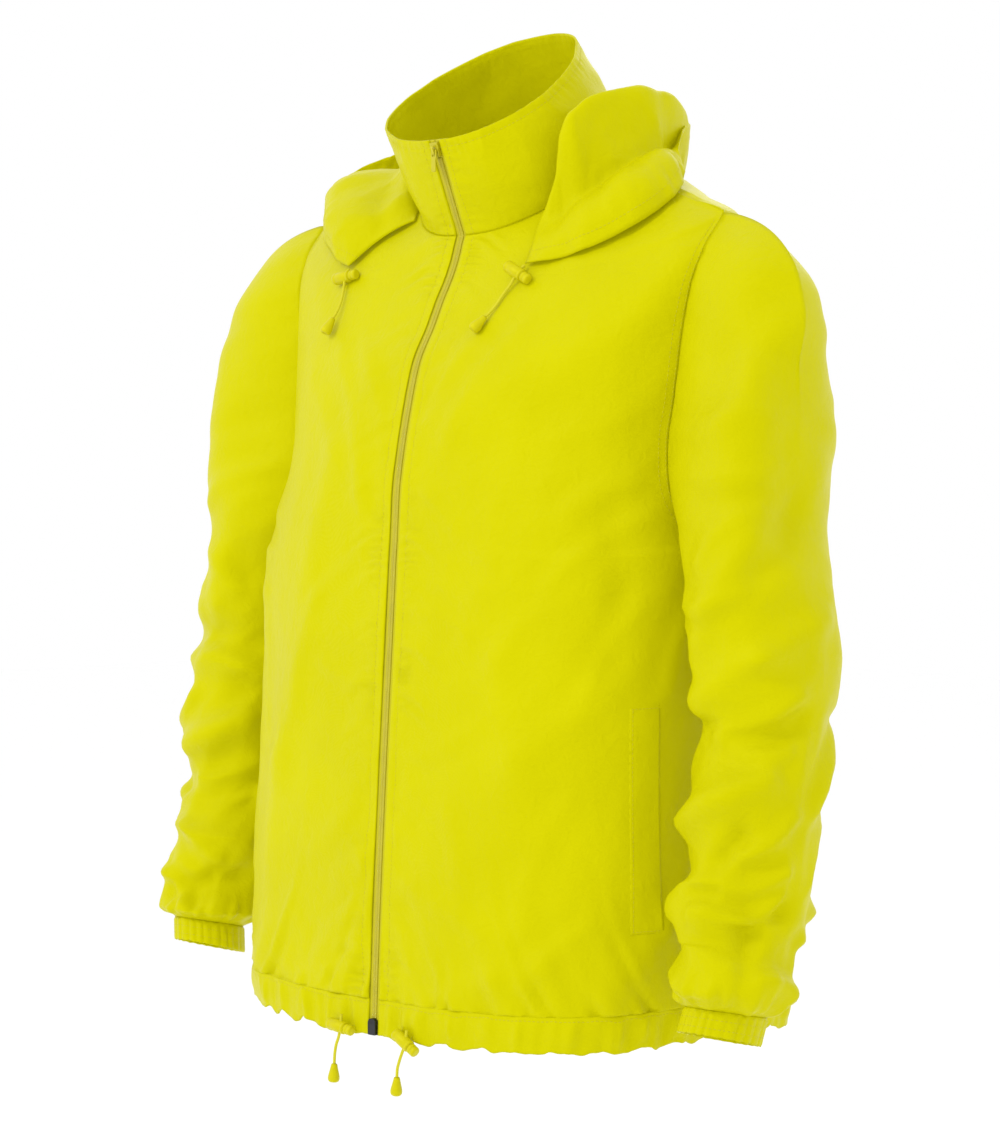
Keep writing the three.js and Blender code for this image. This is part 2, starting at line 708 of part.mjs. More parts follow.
// Splits the spans of a row of points into near equal short steps.
function splitRow(points, normals, closed, steps) {
  const outPoints = [];
  const outNormals = [];
  const spans = closed ? points.length : points.length - 1;
  for (let j = 0; j < spans; j++) {
    const k = (j + 1) % points.length;
    const count = steps(points[j].distanceTo(points[k]));
    for (let n = 0; n < count; n++) {
      outPoints.push(points[j].clone().lerp(points[k], n / count));
      outNormals.push(normals[j].clone().lerp(normals[k], n / count).normalize());
    }
  }
  if (!closed) {
    outPoints.push(points[spans].clone());
    outNormals.push(normals[spans].clone());
  }
  return { points: outPoints, normals: outNormals };
}

// A length of the hem casing, gathered on its cord: from the panel's lower edge to the jacket's edge.
function addHem(name, topPoints, topNormals, lowPoints) {
  const steps = (length) => Math.max(Math.round(length / HEM_PITCH), 1);
  const top = splitRow(topPoints, topNormals, false, steps);
  const low = [];
  for (let j = 0; j < topPoints.length - 1; j++) {
    const count = steps(topPoints[j].distanceTo(topPoints[j + 1]));
    for (let n = 0; n < count; n++) low.push(lowPoints[j].clone().lerp(lowPoints[j + 1], n / count));
  }
  low.push(lowPoints[lowPoints.length - 1].clone());
  const reach = [0];
  for (let j = 1; j < low.length; j++) reach.push(reach[j - 1] + low[j].distanceTo(low[j - 1]));
  const total = reach[reach.length - 1];
  const grid = [];
  for (let i = 0; i <= HEM_STEPS; i++) {
    const u = i / HEM_STEPS;
    grid.push(
      top.points.map((p, j) => {
        const point = p.clone().lerp(low[j], u);
        const ends = smooth(reach[j] / HEM_FREE_END) * smooth((total - reach[j]) / HEM_FREE_END);
        const uneven = HEM_UNEVEN * Math.sin(reach[j] / HEM_UNEVEN_LENGTH);
        const phase = (2 * Math.PI * reach[j]) / HEM_WAVE_LENGTH + uneven;
        const swell = ends * Math.sin(Math.PI * Math.min(u, 0.85));
        point.addScaledVector(top.normals[j], swell * (HEM_FLARE + HEM_WAVE * Math.sin(phase)));
        point.z += ends * u * HEM_SCALLOP * Math.sin(phase + HEM_SCALLOP_LAG);
        return point;
      }),
    );
  }
  const normals = gridNormals(grid, false, bodyAxis).map((line) => line.map((n) => n.normalize()));
  normals[0] = top.normals;
  addCloth(name, { grid, closed: false }, normals);
  return { grid, normals };
}

// A cuff: a short band drawn in by its elastic into upright pleats over a plain inside.
function addCuff(name, sleeve, normals) {
  const last = sleeve.grid.length - 1;
  const perSpan = (2 * CUFF_PLEATS) / SLEEVE_COLUMNS;
  const top = splitRow(sleeve.grid[last], normals[last], true, () => perSpan);
  const middle = ringMiddle(top.points);
  const outward = top.normals.map((n) => n.clone().setZ(0).normalize());
  const lower = top.points.map((p) => {
    const rise = CUFF_TILT * (middle.y - p.y);
    return p.clone().add(new THREE.Vector3(-Math.sign(p.x) * CUFF_DRIFT[0], CUFF_DRIFT[1], rise - CUFF_HEIGHT));
  });
  const outer = [];
  const inner = [];
  for (const u of CUFF_STOPS) {
    const pleat = u > 0 ? CUFF_PLEAT : 0;
    const line = top.points.map((p, j) => p.clone().lerp(lower[j], u));
    outer.push(line.map((p, j) => p.clone().addScaledVector(outward[j], j % 2 ? 2 * pleat : 0)));
    inner.push(line.map((p, j) => p.clone().addScaledVector(outward[j], -WALL)));
  }
  outer[0] = top.points.map((p) => p.clone().add(new THREE.Vector3(0, 0, -2 * SEAM_HALF)));
  inner[0] = outer[0].map((p, j) => p.clone().addScaledVector(top.normals[j], -WALL));
  add(name, wallBetween(outer, inner, true), NYLON);
}

// A point at a distance down the jacket from the neckline and a height off it.
function hoodFoot(side, around, distance, height) {
  const front = around < 1;
  const share = front ? around : 2 - around;
  const place = (t) => bodyPoint(front, side, t, share);
  const step = 0.25;
  let t = NECK;
  let gone = 0;
  let here = place(t);
  let next = place(t - step);
  while (gone + here.distanceTo(next) < distance) {
    gone += here.distanceTo(next);
    t -= step;
    here = next;
    next = place(t - step);
  }
  const u = (distance - gone) / here.distanceTo(next);
  const point = here.clone().lerp(next, u);
  const shareStep = 0.02;
  const bodyAt = (tt, ss) => bodyPoint(front, side, tt, Math.min(ss, 1));
  const normal = surfaceNormal(bodyAt, t - step * u, Math.max(Math.min(share, 0.98), 0.02), 0.3, shareStep);
  const outward = point.clone().sub(new THREE.Vector3(0, 0, point.z - 60));
  if (normal.dot(outward) < 0) normal.negate();
  return point.addScaledVector(normal, height);
}

// A point on a clamped cubic spline that is drawn towards its control points.
function spline(control, u) {
  const degree = 3;
  const spans = control.length - degree;
  const knot = (k) => Math.min(Math.max(k - degree, 0), spans) / spans;
  const span = degree + Math.min(Math.floor(u * spans), spans - 1);
  const d = [];
  for (let j = 0; j <= degree; j++) d.push(control[j + span - degree].clone());
  for (let r = 1; r <= degree; r++) {
    for (let j = degree; j >= r; j--) {
      const low = knot(j + span - degree);
      const high = knot(j + 1 + span - r);
      d[j].lerpVectors(d[j - 1], d[j].clone(), (u - low) / (high - low));
    }
  }
  return d[degree];
}

function hoodGrid() {
  const columns = [];
  for (let c = -HOOD_COLUMNS; c <= HOOD_COLUMNS; c++) {
    const side = Math.sign(c) || 1;
    const table = side > 0 ? HOOD_LEFT : HOOD_RIGHT;
    const r = table.at(table.last * (1 - Math.abs(c) / HOOD_COLUMNS));
    const longest = Math.max(r.d3, r.d4, r.d5, r.d6, r.d7);
    const control = [1, 2, 3, 4, 5, 6, 7].map((n) => {
      const distance = r[`d${n}`];
      return hoodFoot(side, r.around + (r.swing * distance) / longest, distance, r[`h${n}`]);
    });
    columns.push(control);
  }
  const grid = [];
  for (let i = 0; i <= HOOD_STEPS; i++) grid.push(columns.map((control) => spline(control, i / HOOD_STEPS)));
  return grid;
}

const frontLeft = cloth(frontGrid(1, BODY_STOPS), false, bodyAxis);
const frontRight = cloth(frontGrid(-1, BODY_STOPS), false, bodyAxis);
const back = cloth(backGrid(BODY_STOPS), false, bodyAxis);
const collar = cloth(collarGrid(), false, () => COLLAR_MIDDLE);
const sleeveLeft = cloth(sleeveGrid(1, SLEEVE_LEFT, SLEEVE_LEFT_FOLDS), true, ringMiddle);
const sleeveRight = cloth(sleeveGrid(-1, SLEEVE_RIGHT, SLEEVE_RIGHT_FOLDS), true, ringMiddle);

const pieces = {
  front_left: frontLeft,
  front_right: frontRight,
  back,
  collar,
  sleeve_left: sleeveLeft,
  sleeve_right: sleeveRight,
};
const normalsOf = {};
for (const [name, piece] of Object.entries(pieces)) {
  normalsOf[name] = seamedNormals(piece);
  addCloth(name, piece, normalsOf[name]);
}

const hoodCloth = { grid: hoodGrid(), closed: false };
const hoodNormals = gridNormals(hoodCloth.grid, false, () => new THREE.Vector3(0, 0, -300)).map((line) =>
  line.map((n) => n.normalize().negate()),
);
addCloth("hood", hoodCloth, hoodNormals, NYLON, HOOD_WALL);

const hemLeft = addHem("hem_front_left", frontLeft.grid[0], normalsOf.front_left[0], frontGrid(1, [0])[0]);
const hemRight = addHem("hem_front_right", frontRight.grid[0], normalsOf.front_right[0], frontGrid(-1, [0])[0]);
addHem("hem_back", back.grid[0], normalsOf.back[0], backGrid([0])[0]);
addCuff("cuff_left", sleeveLeft, normalsOf.sleeve_left);
addCuff("cuff_right", sleeveRight, normalsOf.sleeve_right);

// The edge of one front along the zip, from the jacket's lower edge to the collar's top: the points
// and normals of its turned edge and of the line one zip edge's width further out.
function zipLine(side, hem, front, collarEdge) {
  const line = [];
  const take = (grid, normals, i, a, b) =>
    line.push({ edge: grid[i][a], edgeNormal: normals[i][a], wide: grid[i][b], wideNormal: normals[i][b] });
  for (let i = hem.grid.length - 1; i > 0; i--) take(hem.grid, hem.normals, i, 0, 1);
  for (let i = 0; i < front.grid.length; i++) take(front.grid, front.normals, i, 0, 1);
  const end = collar.grid[0].length - 1;
  for (let i = 1; i < collar.grid.length; i++) {
    if (side > 0) take(collar.grid, normalsOf.collar, i, end, end - 1);
    else take(collar.grid, normalsOf.collar, i, 0, 1);
  }
  return line;
}
const zipLeft = zipLine(1, hemLeft, { grid: frontLeft.grid, normals: normalsOf.front_left });
const zipRight = zipLine(-1, hemRight, { grid: frontRight.grid, normals: normalsOf.front_right });
const zipNormals = zipLeft.map((row, i) => {
  const n = row.edgeNormal.clone().add(zipRight[i].edgeNormal);
  return n.setX(0).normalize();
});
const zipCentre = zipLeft.map((row, i) => row.edge.clone().add(zipRight[i].edge).multiplyScalar(0.5).setX(0));

// A tape is a flat strip behind one front's edge, reaching in to the middle of the zip.
function addTape(name, side, line) {
  const behind = -(WALL + TAPE_GAP);
  const outer = line.map((row, i) => {
    const edge = row.edge.clone().addScaledVector(row.edgeNormal, behind);
    const wide = row.wide.clone().addScaledVector(row.wideNormal, behind);
    return [edge.setX(side * TAPE_MIDDLE), wide];
  });
  const inner = outer.map((points, i) =>
    points.map((p, j) => p.clone().addScaledVector(j === 1 ? line[i].wideNormal : line[i].edgeNormal, -TAPE_WALL)),
  );
  add(name, wallBetween(outer, inner, false), TAPE);
}
addTape("zip_tape_left", 1, zipLeft);
addTape("zip_tape_right", -1, zipRight);

// The middle line of the zip at a height: its place and its outward normal.
function zipAt(z) {
  let i = 1;
  while (i < zipCentre.length - 1 && zipCentre[i].z < z) i++;
  const u = (z - zipCentre[i - 1].z) / (zipCentre[i].z - zipCentre[i - 1].z);
  return {
    point: zipCentre[i - 1].clone().lerp(zipCentre[i], u),
    normal: zipNormals[i - 1].clone().lerp(zipNormals[i], u).normalize(),
    up: zipCentre[i].clone().sub(zipCentre[i - 1]).normalize(),
  };
}

// The closed coil lies on the tapes, a little below the face of the fronts.
const chainFoot = BOX_TOP + LAID_GAP;
const chainTop = SLIDER_Z - SLIDER_HIGH / 2 - CHAIN_END_GAP;
const chainStops = [chainFoot, ...zipCentre.map((p) => p.z), chainTop]
  .filter((z) => z >= chainFoot && z <= chainTop)
  .sort((a, b) => a - b);
const chainLayer = (depth) => chainStops.map((z) => {
  const { point, normal } = zipAt(z);
  const middle = point.addScaledVector(normal, -depth);
  return [middle.clone().setX(-CHAIN_HALF), middle.clone().setX(CHAIN_HALF)];
});
const chainDepth = WALL + TAPE_GAP - SEAM_HALF * 2;
add("zip_chain", wallBetween(chainLayer(chainDepth - CHAIN_WALL), chainLayer(chainDepth), false), COIL);

function extruded(points, depth) {
  const shape = new THREE.Shape(points.map(([x, y]) => new THREE.Vector2(x, y)));
  return new THREE.ExtrudeGeometry(shape, { depth, bevelEnabled: false });
}

function toSolid(geometry) {
  const bare = geometry.clone();
  bare.deleteAttribute("normal");
  bare.deleteAttribute("uv");
  const merged = mergeVertices(bare);
  return new wasm.Manifold(new wasm.Mesh({
    numProp: 3,
    vertProperties: new Float32Array(merged.attributes.position.array),
    triVerts: new Uint32Array(merged.index.array),
  }));
}

function fromSolid(solid) {
  const mesh = solid.getMesh();
  const geometry = new THREE.BufferGeometry();
  geometry.setAttribute("position", new THREE.Float32BufferAttribute(mesh.vertProperties, 3));
  geometry.setIndex(Array.from(mesh.triVerts));
  const flat = geometry.toNonIndexed();
  flat.computeVertexNormals();
  return flat;
}

// The slider's face plate with the arched bridge that holds the pull. Its own -Y is its outer side.
function sliderGeometry() {
  const w = SLIDER_WIDE / 2;
  const h = SLIDER_HIGH / 2;
  const plate = extruded([[-w * 0.75, -h], [w * 0.75, -h], [w * 0.8, -1], [w, 2], [w * 0.9, h],
    [-w * 0.9, h], [-w, 2], [-w * 0.8, -1]], SLIDER_DEEP);
  plate.rotateX(Math.PI / 2).translate(0, SLIDER_BACK, 0);
  const face = SLIDER_BACK - SLIDER_DEEP;
  const top = face - BRIDGE_OPEN - BRIDGE_THICK;
  const inside = face - BRIDGE_OPEN;
  const half = BRIDGE_LONG / 2;
  const foot = half - BRIDGE_THICK;
  const arch = extruded([[face + 0.5, -half], [top + 0.6, -half], [top, -half + 0.8], [top, half - 0.8],
    [top + 0.6, half], [face + 0.5, half], [face + 0.5, foot], [inside, foot], [inside, -foot],
    [face + 0.5, -foot]], BRIDGE_WIDE);
  // The arch is drawn as (y, z) and stands across X.
  const place = new THREE.Matrix4().makeBasis(
    new THREE.Vector3(0, 1, 0), new THREE.Vector3(0, 0, 1), new THREE.Vector3(1, 0, 0));
  arch.applyMatrix4(place).translate(-BRIDGE_WIDE / 2, 0, 0);
  return fromSolid(toSolid(plate).add(toSolid(arch)));
}
const sliderSeat = zipAt(SLIDER_Z);
const slider = new THREE.Group();
slider.position.copy(sliderSeat.point);
slider.rotation.x = Math.atan2(-sliderSeat.up.y, sliderSeat.up.z);
jacket.add(slider);
add("zip_slider", sliderGeometry(), LACQUER, slider);

// The pull hangs from the bridge on its crossbar and swings about it.
slider.updateMatrixWorld(true);
const pullPivot = new THREE.Vector3(0, SLIDER_BACK - SLIDER_DEEP - BRIDGE_OPEN / 2, 0).applyMatrix4(slider.matrixWorld);
function pullGeometry() {
  const w = PULL_WIDE / 2;
  const bar = PULL_THICK * 0.55;
  const tab = new THREE.Shape([[-w + 0.4, bar], [w - 0.4, bar], [w, 0], [w, -PULL_EYE], [w * 0.8, -PULL_EYE - 2],
    [w * 0.9, -PULL_LONG + 1], [w * 0.5, -PULL_LONG], [-w * 0.5, -PULL_LONG], [-w * 0.9, -PULL_LONG + 1],
    [-w * 0.8, -PULL_EYE - 2], [-w, -PULL_EYE], [-w, 0]].map(([x, z]) => new THREE.Vector2(x, z)));
  const hole = [[-1.5, -bar], [-1.5, 0.8 - PULL_EYE], [1.5, 0.8 - PULL_EYE], [1.5, -bar]];
  tab.holes.push(new THREE.Path(hole.map(([x, z]) => new THREE.Vector2(x, z))));
  const geometry = new THREE.ExtrudeGeometry(tab, { depth: PULL_THICK, bevelEnabled: false });
  return geometry.rotateX(Math.PI / 2).translate(0, PULL_THICK / 2, 0);
}
add("zip_pull", pullGeometry(), LACQUER).position.copy(pullPivot);

const boxSeat = zipAt((BOX_TOP + BOX_FOOT) / 2).point;
const boxHigh = BOX_TOP - BOX_FOOT;
const box = extruded([[-BOX_HALF, 0], [BOX_HALF, 0], [BOX_HALF, boxHigh - 2], [BOX_HALF - 1.2, boxHigh],
  [1.2 - BOX_HALF, boxHigh], [-BOX_HALF, boxHigh - 2]], BOX_DEEP);
box.rotateX(Math.PI / 2);
add("zip_bottom_box", box, DARK_METAL).position.set(0, boxSeat.y + WALL, BOX_FOOT);

// A pocket's welt: an upright strip on the front's own points, between two of its columns.
function addWelt(name, side, front, normals) {
  const low = BODY_STOPS.findIndex((t) => FRONT_ROWS.at(t).midZ > WELT_FOOT);
  const high = BODY_STOPS.findIndex((t) => FRONT_ROWS.at(t).midZ > WELT_TOP);
  const first = FRONT_COLUMNS.indexOf(WELT_SHARES[0]) + 2;
  const layer = (lift) => {
    const grid = [];
    for (let i = low; i <= high; i++) {
      grid.push([first, first + 1].map((j) => front.grid[i][j].clone().addScaledVector(normals[i][j], lift)));
    }
    return grid;
  };
  add(name, wallBetween(layer(LAID_GAP + WELT_WALL), layer(LAID_GAP), false), NYLON);
}
addWelt("pocket_welt_left", 1, frontLeft, normalsOf.front_left);
addWelt("pocket_welt_right", -1, frontRight, normalsOf.front_right);

// The drawcords. Each row is one cord's way from the casing that it leaves to its bell end.
const CORD_ROUTES = {
  hood_left: [[76.4, -87, -85.3], [73.8, -92.5, -91.5], [69.5, -94.2, -99], [65, -98, -107], [61.9, -103, -115.5],
    [57.6, -108.4, -122.8]],
  hood_right: [[-113.4, -82.9, -80.2], [-112.4, -87.4, -87], [-110.6, -90.6, -94], [-108.6, -94.4, -102],
    [-107.4, -99.4, -110.8], [-108.5, -104, -118.4]],
  hem_left: [[41, -174, -641], [39.5, -174, -651], [35, -173, -659], [31.5, -172, -665], [29, -171.5, -671],
    [28, -171, -677]],
  hem_right: [[-27, -174.3, -637], [-28, -174.3, -647], [-31, -173.5, -655], [-34.5, -172.5, -661],
    [-36.5, -172, -668], [-37, -172, -675]],
};
const LOCK_TURNS = { hood_left: -28, hood_right: 8, hem_left: -30, hem_right: -8 };
const LOCK_AT = { hood_left: 0.14, hood_right: 0.14, hem_left: 0.25, hem_right: 0.25 };

function cordGeometry(points, radius, steps) {
  const path = new THREE.CatmullRomCurve3(points.map((p) => new THREE.Vector3(...p)));
  const section = new THREE.Shape();
  for (let k = 0; k < CORD_SIDES; k++) {
    const a = (2 * Math.PI * k) / CORD_SIDES;
    if (k === 0) section.moveTo(radius, 0);
    else section.lineTo(radius * Math.cos(a), radius * Math.sin(a));
  }
  section.closePath();
  return new THREE.ExtrudeGeometry(section, { steps, extrudePath: path, bevelEnabled: false });
}

function lathed(profile, sides) {
  return new THREE.LatheGeometry(profile.map(([x, y]) => new THREE.Vector2(x, y)), sides);
}

for (const [name, route] of Object.entries(CORD_ROUTES)) {
  add(`${name.replace("_", "_cord_")}`, cordGeometry(route, CORD_DIAMETER / 2, CORD_STEPS), CORD);
  const path = new THREE.CatmullRomCurve3(route.map((p) => new THREE.Vector3(...p)));
  const along = path.getTangent(1);
  const bell = add(name.replace("_", "_bell_"), lathed(BELL_PROFILE, 10), MOULDED);
  bell.position.copy(path.getPoint(1)).addScaledVector(along, LAID_GAP);
  bell.quaternion.setFromUnitVectors(new THREE.Vector3(0, 1, 0), along);
  const lock = lathed(LOCK_PROFILE, 10);
  const turn = new THREE.Matrix4().makeRotationZ(Math.PI / 2);
  const tilt = new THREE.Matrix4().makeRotationY(THREE.MathUtils.degToRad(-LOCK_TURNS[name]));
  const seat = path.getPoint(LOCK_AT[name]);
  lock.applyMatrix4(turn).applyMatrix4(tilt).translate(seat.x, seat.y, seat.z);
  const hole = cordGeometry(route, CORD_DIAMETER / 2 + LAID_GAP, CORD_STEPS);
  add(name.replace("_", "_lock_"), fromSolid(toSolid(lock).subtract(toSolid(hole))), MOULDED);
}

export default jacket;
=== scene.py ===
import math

import bpy
import numpy as np
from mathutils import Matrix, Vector


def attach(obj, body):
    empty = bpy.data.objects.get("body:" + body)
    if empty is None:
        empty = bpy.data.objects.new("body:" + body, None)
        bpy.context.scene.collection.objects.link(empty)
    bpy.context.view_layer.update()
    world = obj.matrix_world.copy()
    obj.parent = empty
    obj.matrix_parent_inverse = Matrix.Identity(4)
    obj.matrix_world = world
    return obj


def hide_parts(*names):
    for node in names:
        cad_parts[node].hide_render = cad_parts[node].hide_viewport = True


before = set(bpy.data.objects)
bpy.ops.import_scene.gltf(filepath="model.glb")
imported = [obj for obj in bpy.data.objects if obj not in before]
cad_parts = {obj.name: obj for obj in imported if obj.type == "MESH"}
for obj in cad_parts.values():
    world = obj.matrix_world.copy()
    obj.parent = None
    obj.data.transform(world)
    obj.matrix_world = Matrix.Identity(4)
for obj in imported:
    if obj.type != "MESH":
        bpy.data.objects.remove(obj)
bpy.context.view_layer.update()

# The studio: a camera at the wearer's left front, one broad soft lamp up to its left, a weaker one to
# its right, and a white surround over a plain pale floor.
CAMERA_AT = (1.7050, -1.8284, -0.235)
CAMERA_AIM = (-0.0163, -0.0152, -0.3096)
CAMERA_LENS = 103.2
FLOOR_HEIGHT = -1.30
FLOOR_SIZE = 24.0
SURROUND = 1.0

camera = bpy.data.objects.new("camera", bpy.data.cameras.new("camera"))
camera.location = CAMERA_AT
camera.rotation_euler = (Vector(CAMERA_AIM) - Vector(CAMERA_AT)).to_track_quat("-Z", "Y").to_euler()
camera.data.lens = CAMERA_LENS
bpy.context.collection.objects.link(camera)
bpy.context.scene.camera = camera
bpy.context.scene.view_settings.view_transform = "Standard"


def add_lamp(name, place, aim, size, power):
    lamp = bpy.data.objects.new(name, bpy.data.lights.new(name, "AREA"))
    lamp.data.shape = "DISK"
    lamp.data.size = size
    lamp.data.energy = power
    lamp.location = place
    lamp.rotation_euler = (Vector(aim) - Vector(place)).to_track_quat("-Z", "Y").to_euler()
    bpy.context.collection.objects.link(lamp)


add_lamp("lamp_left", (-0.55, -2.7, 1.5), (0, 0, -0.25), 0.9, 28)
add_lamp("lamp_right", (2.9, 0.3, 0.7), (0, 0, -0.3), 1.8, 4)
add_lamp("lamp_behind", (-1.2, 2.6, 1.4), (0, 0, -0.3), 1.8, 10)
surround = bpy.data.worlds.new("surround")
surround.use_nodes = True
surround.node_tree.nodes["Background"].inputs["Color"].default_value = (1, 1, 1, 1)
surround.node_tree.nodes["Background"].inputs["Strength"].default_value = SURROUND
bpy.context.scene.world = surround

floor_mesh = bpy.data.meshes.new("floor")
half_floor = FLOOR_SIZE / 2
floor_mesh.from_pydata(
    [(x * half_floor, y * half_floor, FLOOR_HEIGHT) for x, y in ((-1, -1), (1, -1), (1, 1), (-1, 1))],
    [],
    [(0, 1, 2, 3)],
)
floor = bpy.data.objects.new("floor", floor_mesh)
floor_paint = bpy.data.materials.new("floor_paint")
floor_paint.use_nodes = True
floor_shader = floor_paint.node_tree.nodes["Principled BSDF"]
floor_shader.inputs["Base Color"].default_value = (1.0, 1.0, 1.0, 1)
floor_shader.inputs["Roughness"].default_value = 0.9
floor_mesh.materials.append(floor_paint)
bpy.context.collection.objects.link(floor)


# Drawcords: round braided cord, two at the hood and two at the hem. Each leaves its casing, passes
# through a moulded lock that grips it, and ends in a moulded bell knotted on inside.
CORD_DIAMETER = 2.2
CORD_POINTS = 26
CORD_ROUTES = {
    "hood_left": [
        (76.4, -87, -85.3), (73.8, -92.5, -91.5), (69.5, -94.2, -99), (65, -98, -107),
        (61.9, -103, -115.5), (57.6, -108.4, -122.8),
    ],
    "hood_right": [
        (-113.4, -82.9, -80.2), (-112.4, -87.4, -87), (-110.6, -90.6, -94), (-108.6, -94.4, -102),
        (-107.4, -99.4, -110.8), (-108.5, -104, -118.4),
    ],
    "hem_left": [
        (41, -174, -641), (39.5, -174, -651), (35, -173, -659), (31.5, -172, -665),
        (29, -171.5, -671), (28, -171, -677),
    ],
    "hem_right": [
        (-27, -174.3, -637), (-28, -174.3, -647), (-31, -173.5, -655), (-34.5, -172.5, -661),
        (-36.5, -172, -668), (-37, -172, -675),
    ],
}
LOCK_AT = {"hood_left": 0.14, "hood_right": 0.14, "hem_left": 0.25, "hem_right": 0.25}
LOCK_TURNS = {"hood_left": -28, "hood_right": 8, "hem_left": -30, "hem_right": -8}
BELL_PROFILE = [
    (0, 0), (1.5, 0), (2.1, 0.3), (2.4, 1.0), (2.7, 2.6), (3.2, 4.8), (3.8, 7.2), (4.25, 9.2),
    (4.4, 10.6), (4.3, 12.0), (3.8, 13.1), (3.0, 13.7), (1.9, 13.9), (1.6, 13.2), (0, 13.1),
]
LOCK_PROFILE = [
    (0, -12.5), (2.6, -12.5), (3.5, -12.2), (3.85, -11.5), (3.9, -9.6), (3.6, -9.3), (3.6, -8.9),
    (3.9, -8.6), (3.9, -6.6), (3.6, -6.2), (3.1, -6.1), (3.1, -5.3), (4.2, -5.1), (4.55, -4.7),
    (4.6, -3.6), (4.35, -3.2), (4.35, -2.7), (4.6, -2.3), (4.6, 7.6), (4.4, 8.0), (4.4, 8.5),
    (4.6, 8.9), (4.55, 10.6), (4.1, 11.7), (3.2, 12.2), (0, 12.2),
]
MOULDED_SIDES = 40


def new_material(name, colour, roughness, metallic=0.0):
    material = bpy.data.materials.new(name)
    material.use_nodes = True
    shader = material.node_tree.nodes["Principled BSDF"]
    shader.inputs["Base Color"].default_value = (*colour, 1)
    shader.inputs["Roughness"].default_value = roughness
    shader.inputs["Metallic"].default_value = metallic
    return material, material.node_tree, shader


def node_group(name, inputs, outputs):
    """A shared shader effect with named inputs, and outputs that change over the surface."""
    group = bpy.data.node_groups.new(name, "ShaderNodeTree")
    for label, default in inputs:
        socket = group.interface.new_socket(label, in_out="INPUT", socket_type="NodeSocketFloat")
        socket.default_value = default
    for label in outputs:
        group.interface.new_socket(label, in_out="OUTPUT", socket_type="NodeSocketFloat")
    return group, group.nodes.new("NodeGroupInput"), group.nodes.new("NodeGroupOutput")


def maths(tree, operation, first, second=None, third=None):
    node = tree.nodes.new("ShaderNodeMath")
    node.operation = operation
    for socket, value in zip(node.inputs, (first, second, third)):
        if isinstance(value, (int, float)):
            socket.default_value = value
        elif value is not None:
            tree.links.new(value, socket)
    return node.outputs[0]


def mottling():
    """Slow uneven patches, from 0 to 1, as dye and handling leave them."""
    group, given, out = node_group("mottling", [("Scale", 30.0), ("Detail", 3.0)], ["Mask"])
    place = group.nodes.new("ShaderNodeTexCoord")
    cloud = group.nodes.new("ShaderNodeTexNoise")
    group.links.new(place.outputs["Object"], cloud.inputs["Vector"])
    group.links.new(given.outputs["Scale"], cloud.inputs["Scale"])
    group.links.new(given.outputs["Detail"], cloud.inputs["Detail"])
    group.links.new(cloud.outputs["Fac"], out.inputs["Mask"])
    return group


MOTTLING = mottling()


def place_group(tree, group, **values):
    node = tree.nodes.new("ShaderNodeGroup")
    node.node_tree = group
    for label, value in values.items():
        node.inputs[label.replace("_", " ")].default_value = value
    return node


def tint(tree, shader, mask, dark, light):
    """Spreads a mask between two colours over the surface."""
    blend = tree.nodes.new("ShaderNodeMix")
    blend.data_type = "RGBA"
    blend.inputs["A"].default_value = (*dark, 1)
    blend.inputs["B"].default_value = (*light, 1)
    tree.links.new(mask, blend.inputs["Factor"])
    tree.links.new(blend.outputs["Result"], shader.inputs["Base Color"])


def spread(tree, mask, low, high):
    node = tree.nodes.new("ShaderNodeMapRange")
    tree.links.new(mask, node.inputs["Value"])
    node.inputs["To Min"].default_value = low
    node.inputs["To Max"].default_value = high
    return node.outputs["Result"]


def bump(tree, shader, height, distance, strength=1.0, under=None):
    node = tree.nodes.new("ShaderNodeBump")
    node.inputs["Distance"].default_value = distance
    node.inputs["Strength"].default_value = strength
    tree.links.new(height, node.inputs["Height"])
    if under is not None:
        tree.links.new(under, node.inputs["Normal"])
    tree.links.new(node.outputs["Normal"], shader.inputs["Normal"])
    return node.outputs["Normal"]


def braid_material():
    material, tree, shader = new_material("braided_cord", (0.46, 0.41, 0.004), 0.72)
    place = tree.nodes.new("ShaderNodeTexCoord")
    cells = tree.nodes.new("ShaderNodeTexVoronoi")
    cells.inputs["Scale"].default_value = 1500
    tree.links.new(place.outputs["Object"], cells.inputs["Vector"])
    tint(tree, shader, cells.outputs["Distance"], (0.72, 0.68, 0.002), (0.58, 0.53, 0.002))
    bump(tree, shader, maths(tree, "SUBTRACT", 1.0, cells.outputs["Distance"]), 0.0003, 0.8)
    return material


def moulded_material():
    material, tree, shader = new_material("moulded_yellow", (0.42, 0.35, 0.004), 0.42)
    patches = place_group(tree, MOTTLING, Scale=160.0)
    tint(tree, shader, patches.outputs["Mask"], (0.55, 0.50, 0.002), (0.65, 0.60, 0.003))
    tree.links.new(spread(tree, patches.outputs["Mask"], 0.34, 0.5), shader.inputs["Roughness"])
    shader.inputs["Specular Tint"].default_value = (1.0, 0.94, 0.15, 1)
    grain = place_group(tree, MOTTLING, Scale=2600.0, Detail=2.0)
    bump(tree, shader, grain.outputs["Mask"], 0.00008, 0.5)
    return material


BRAID = braid_material()
MOULDED = moulded_material()


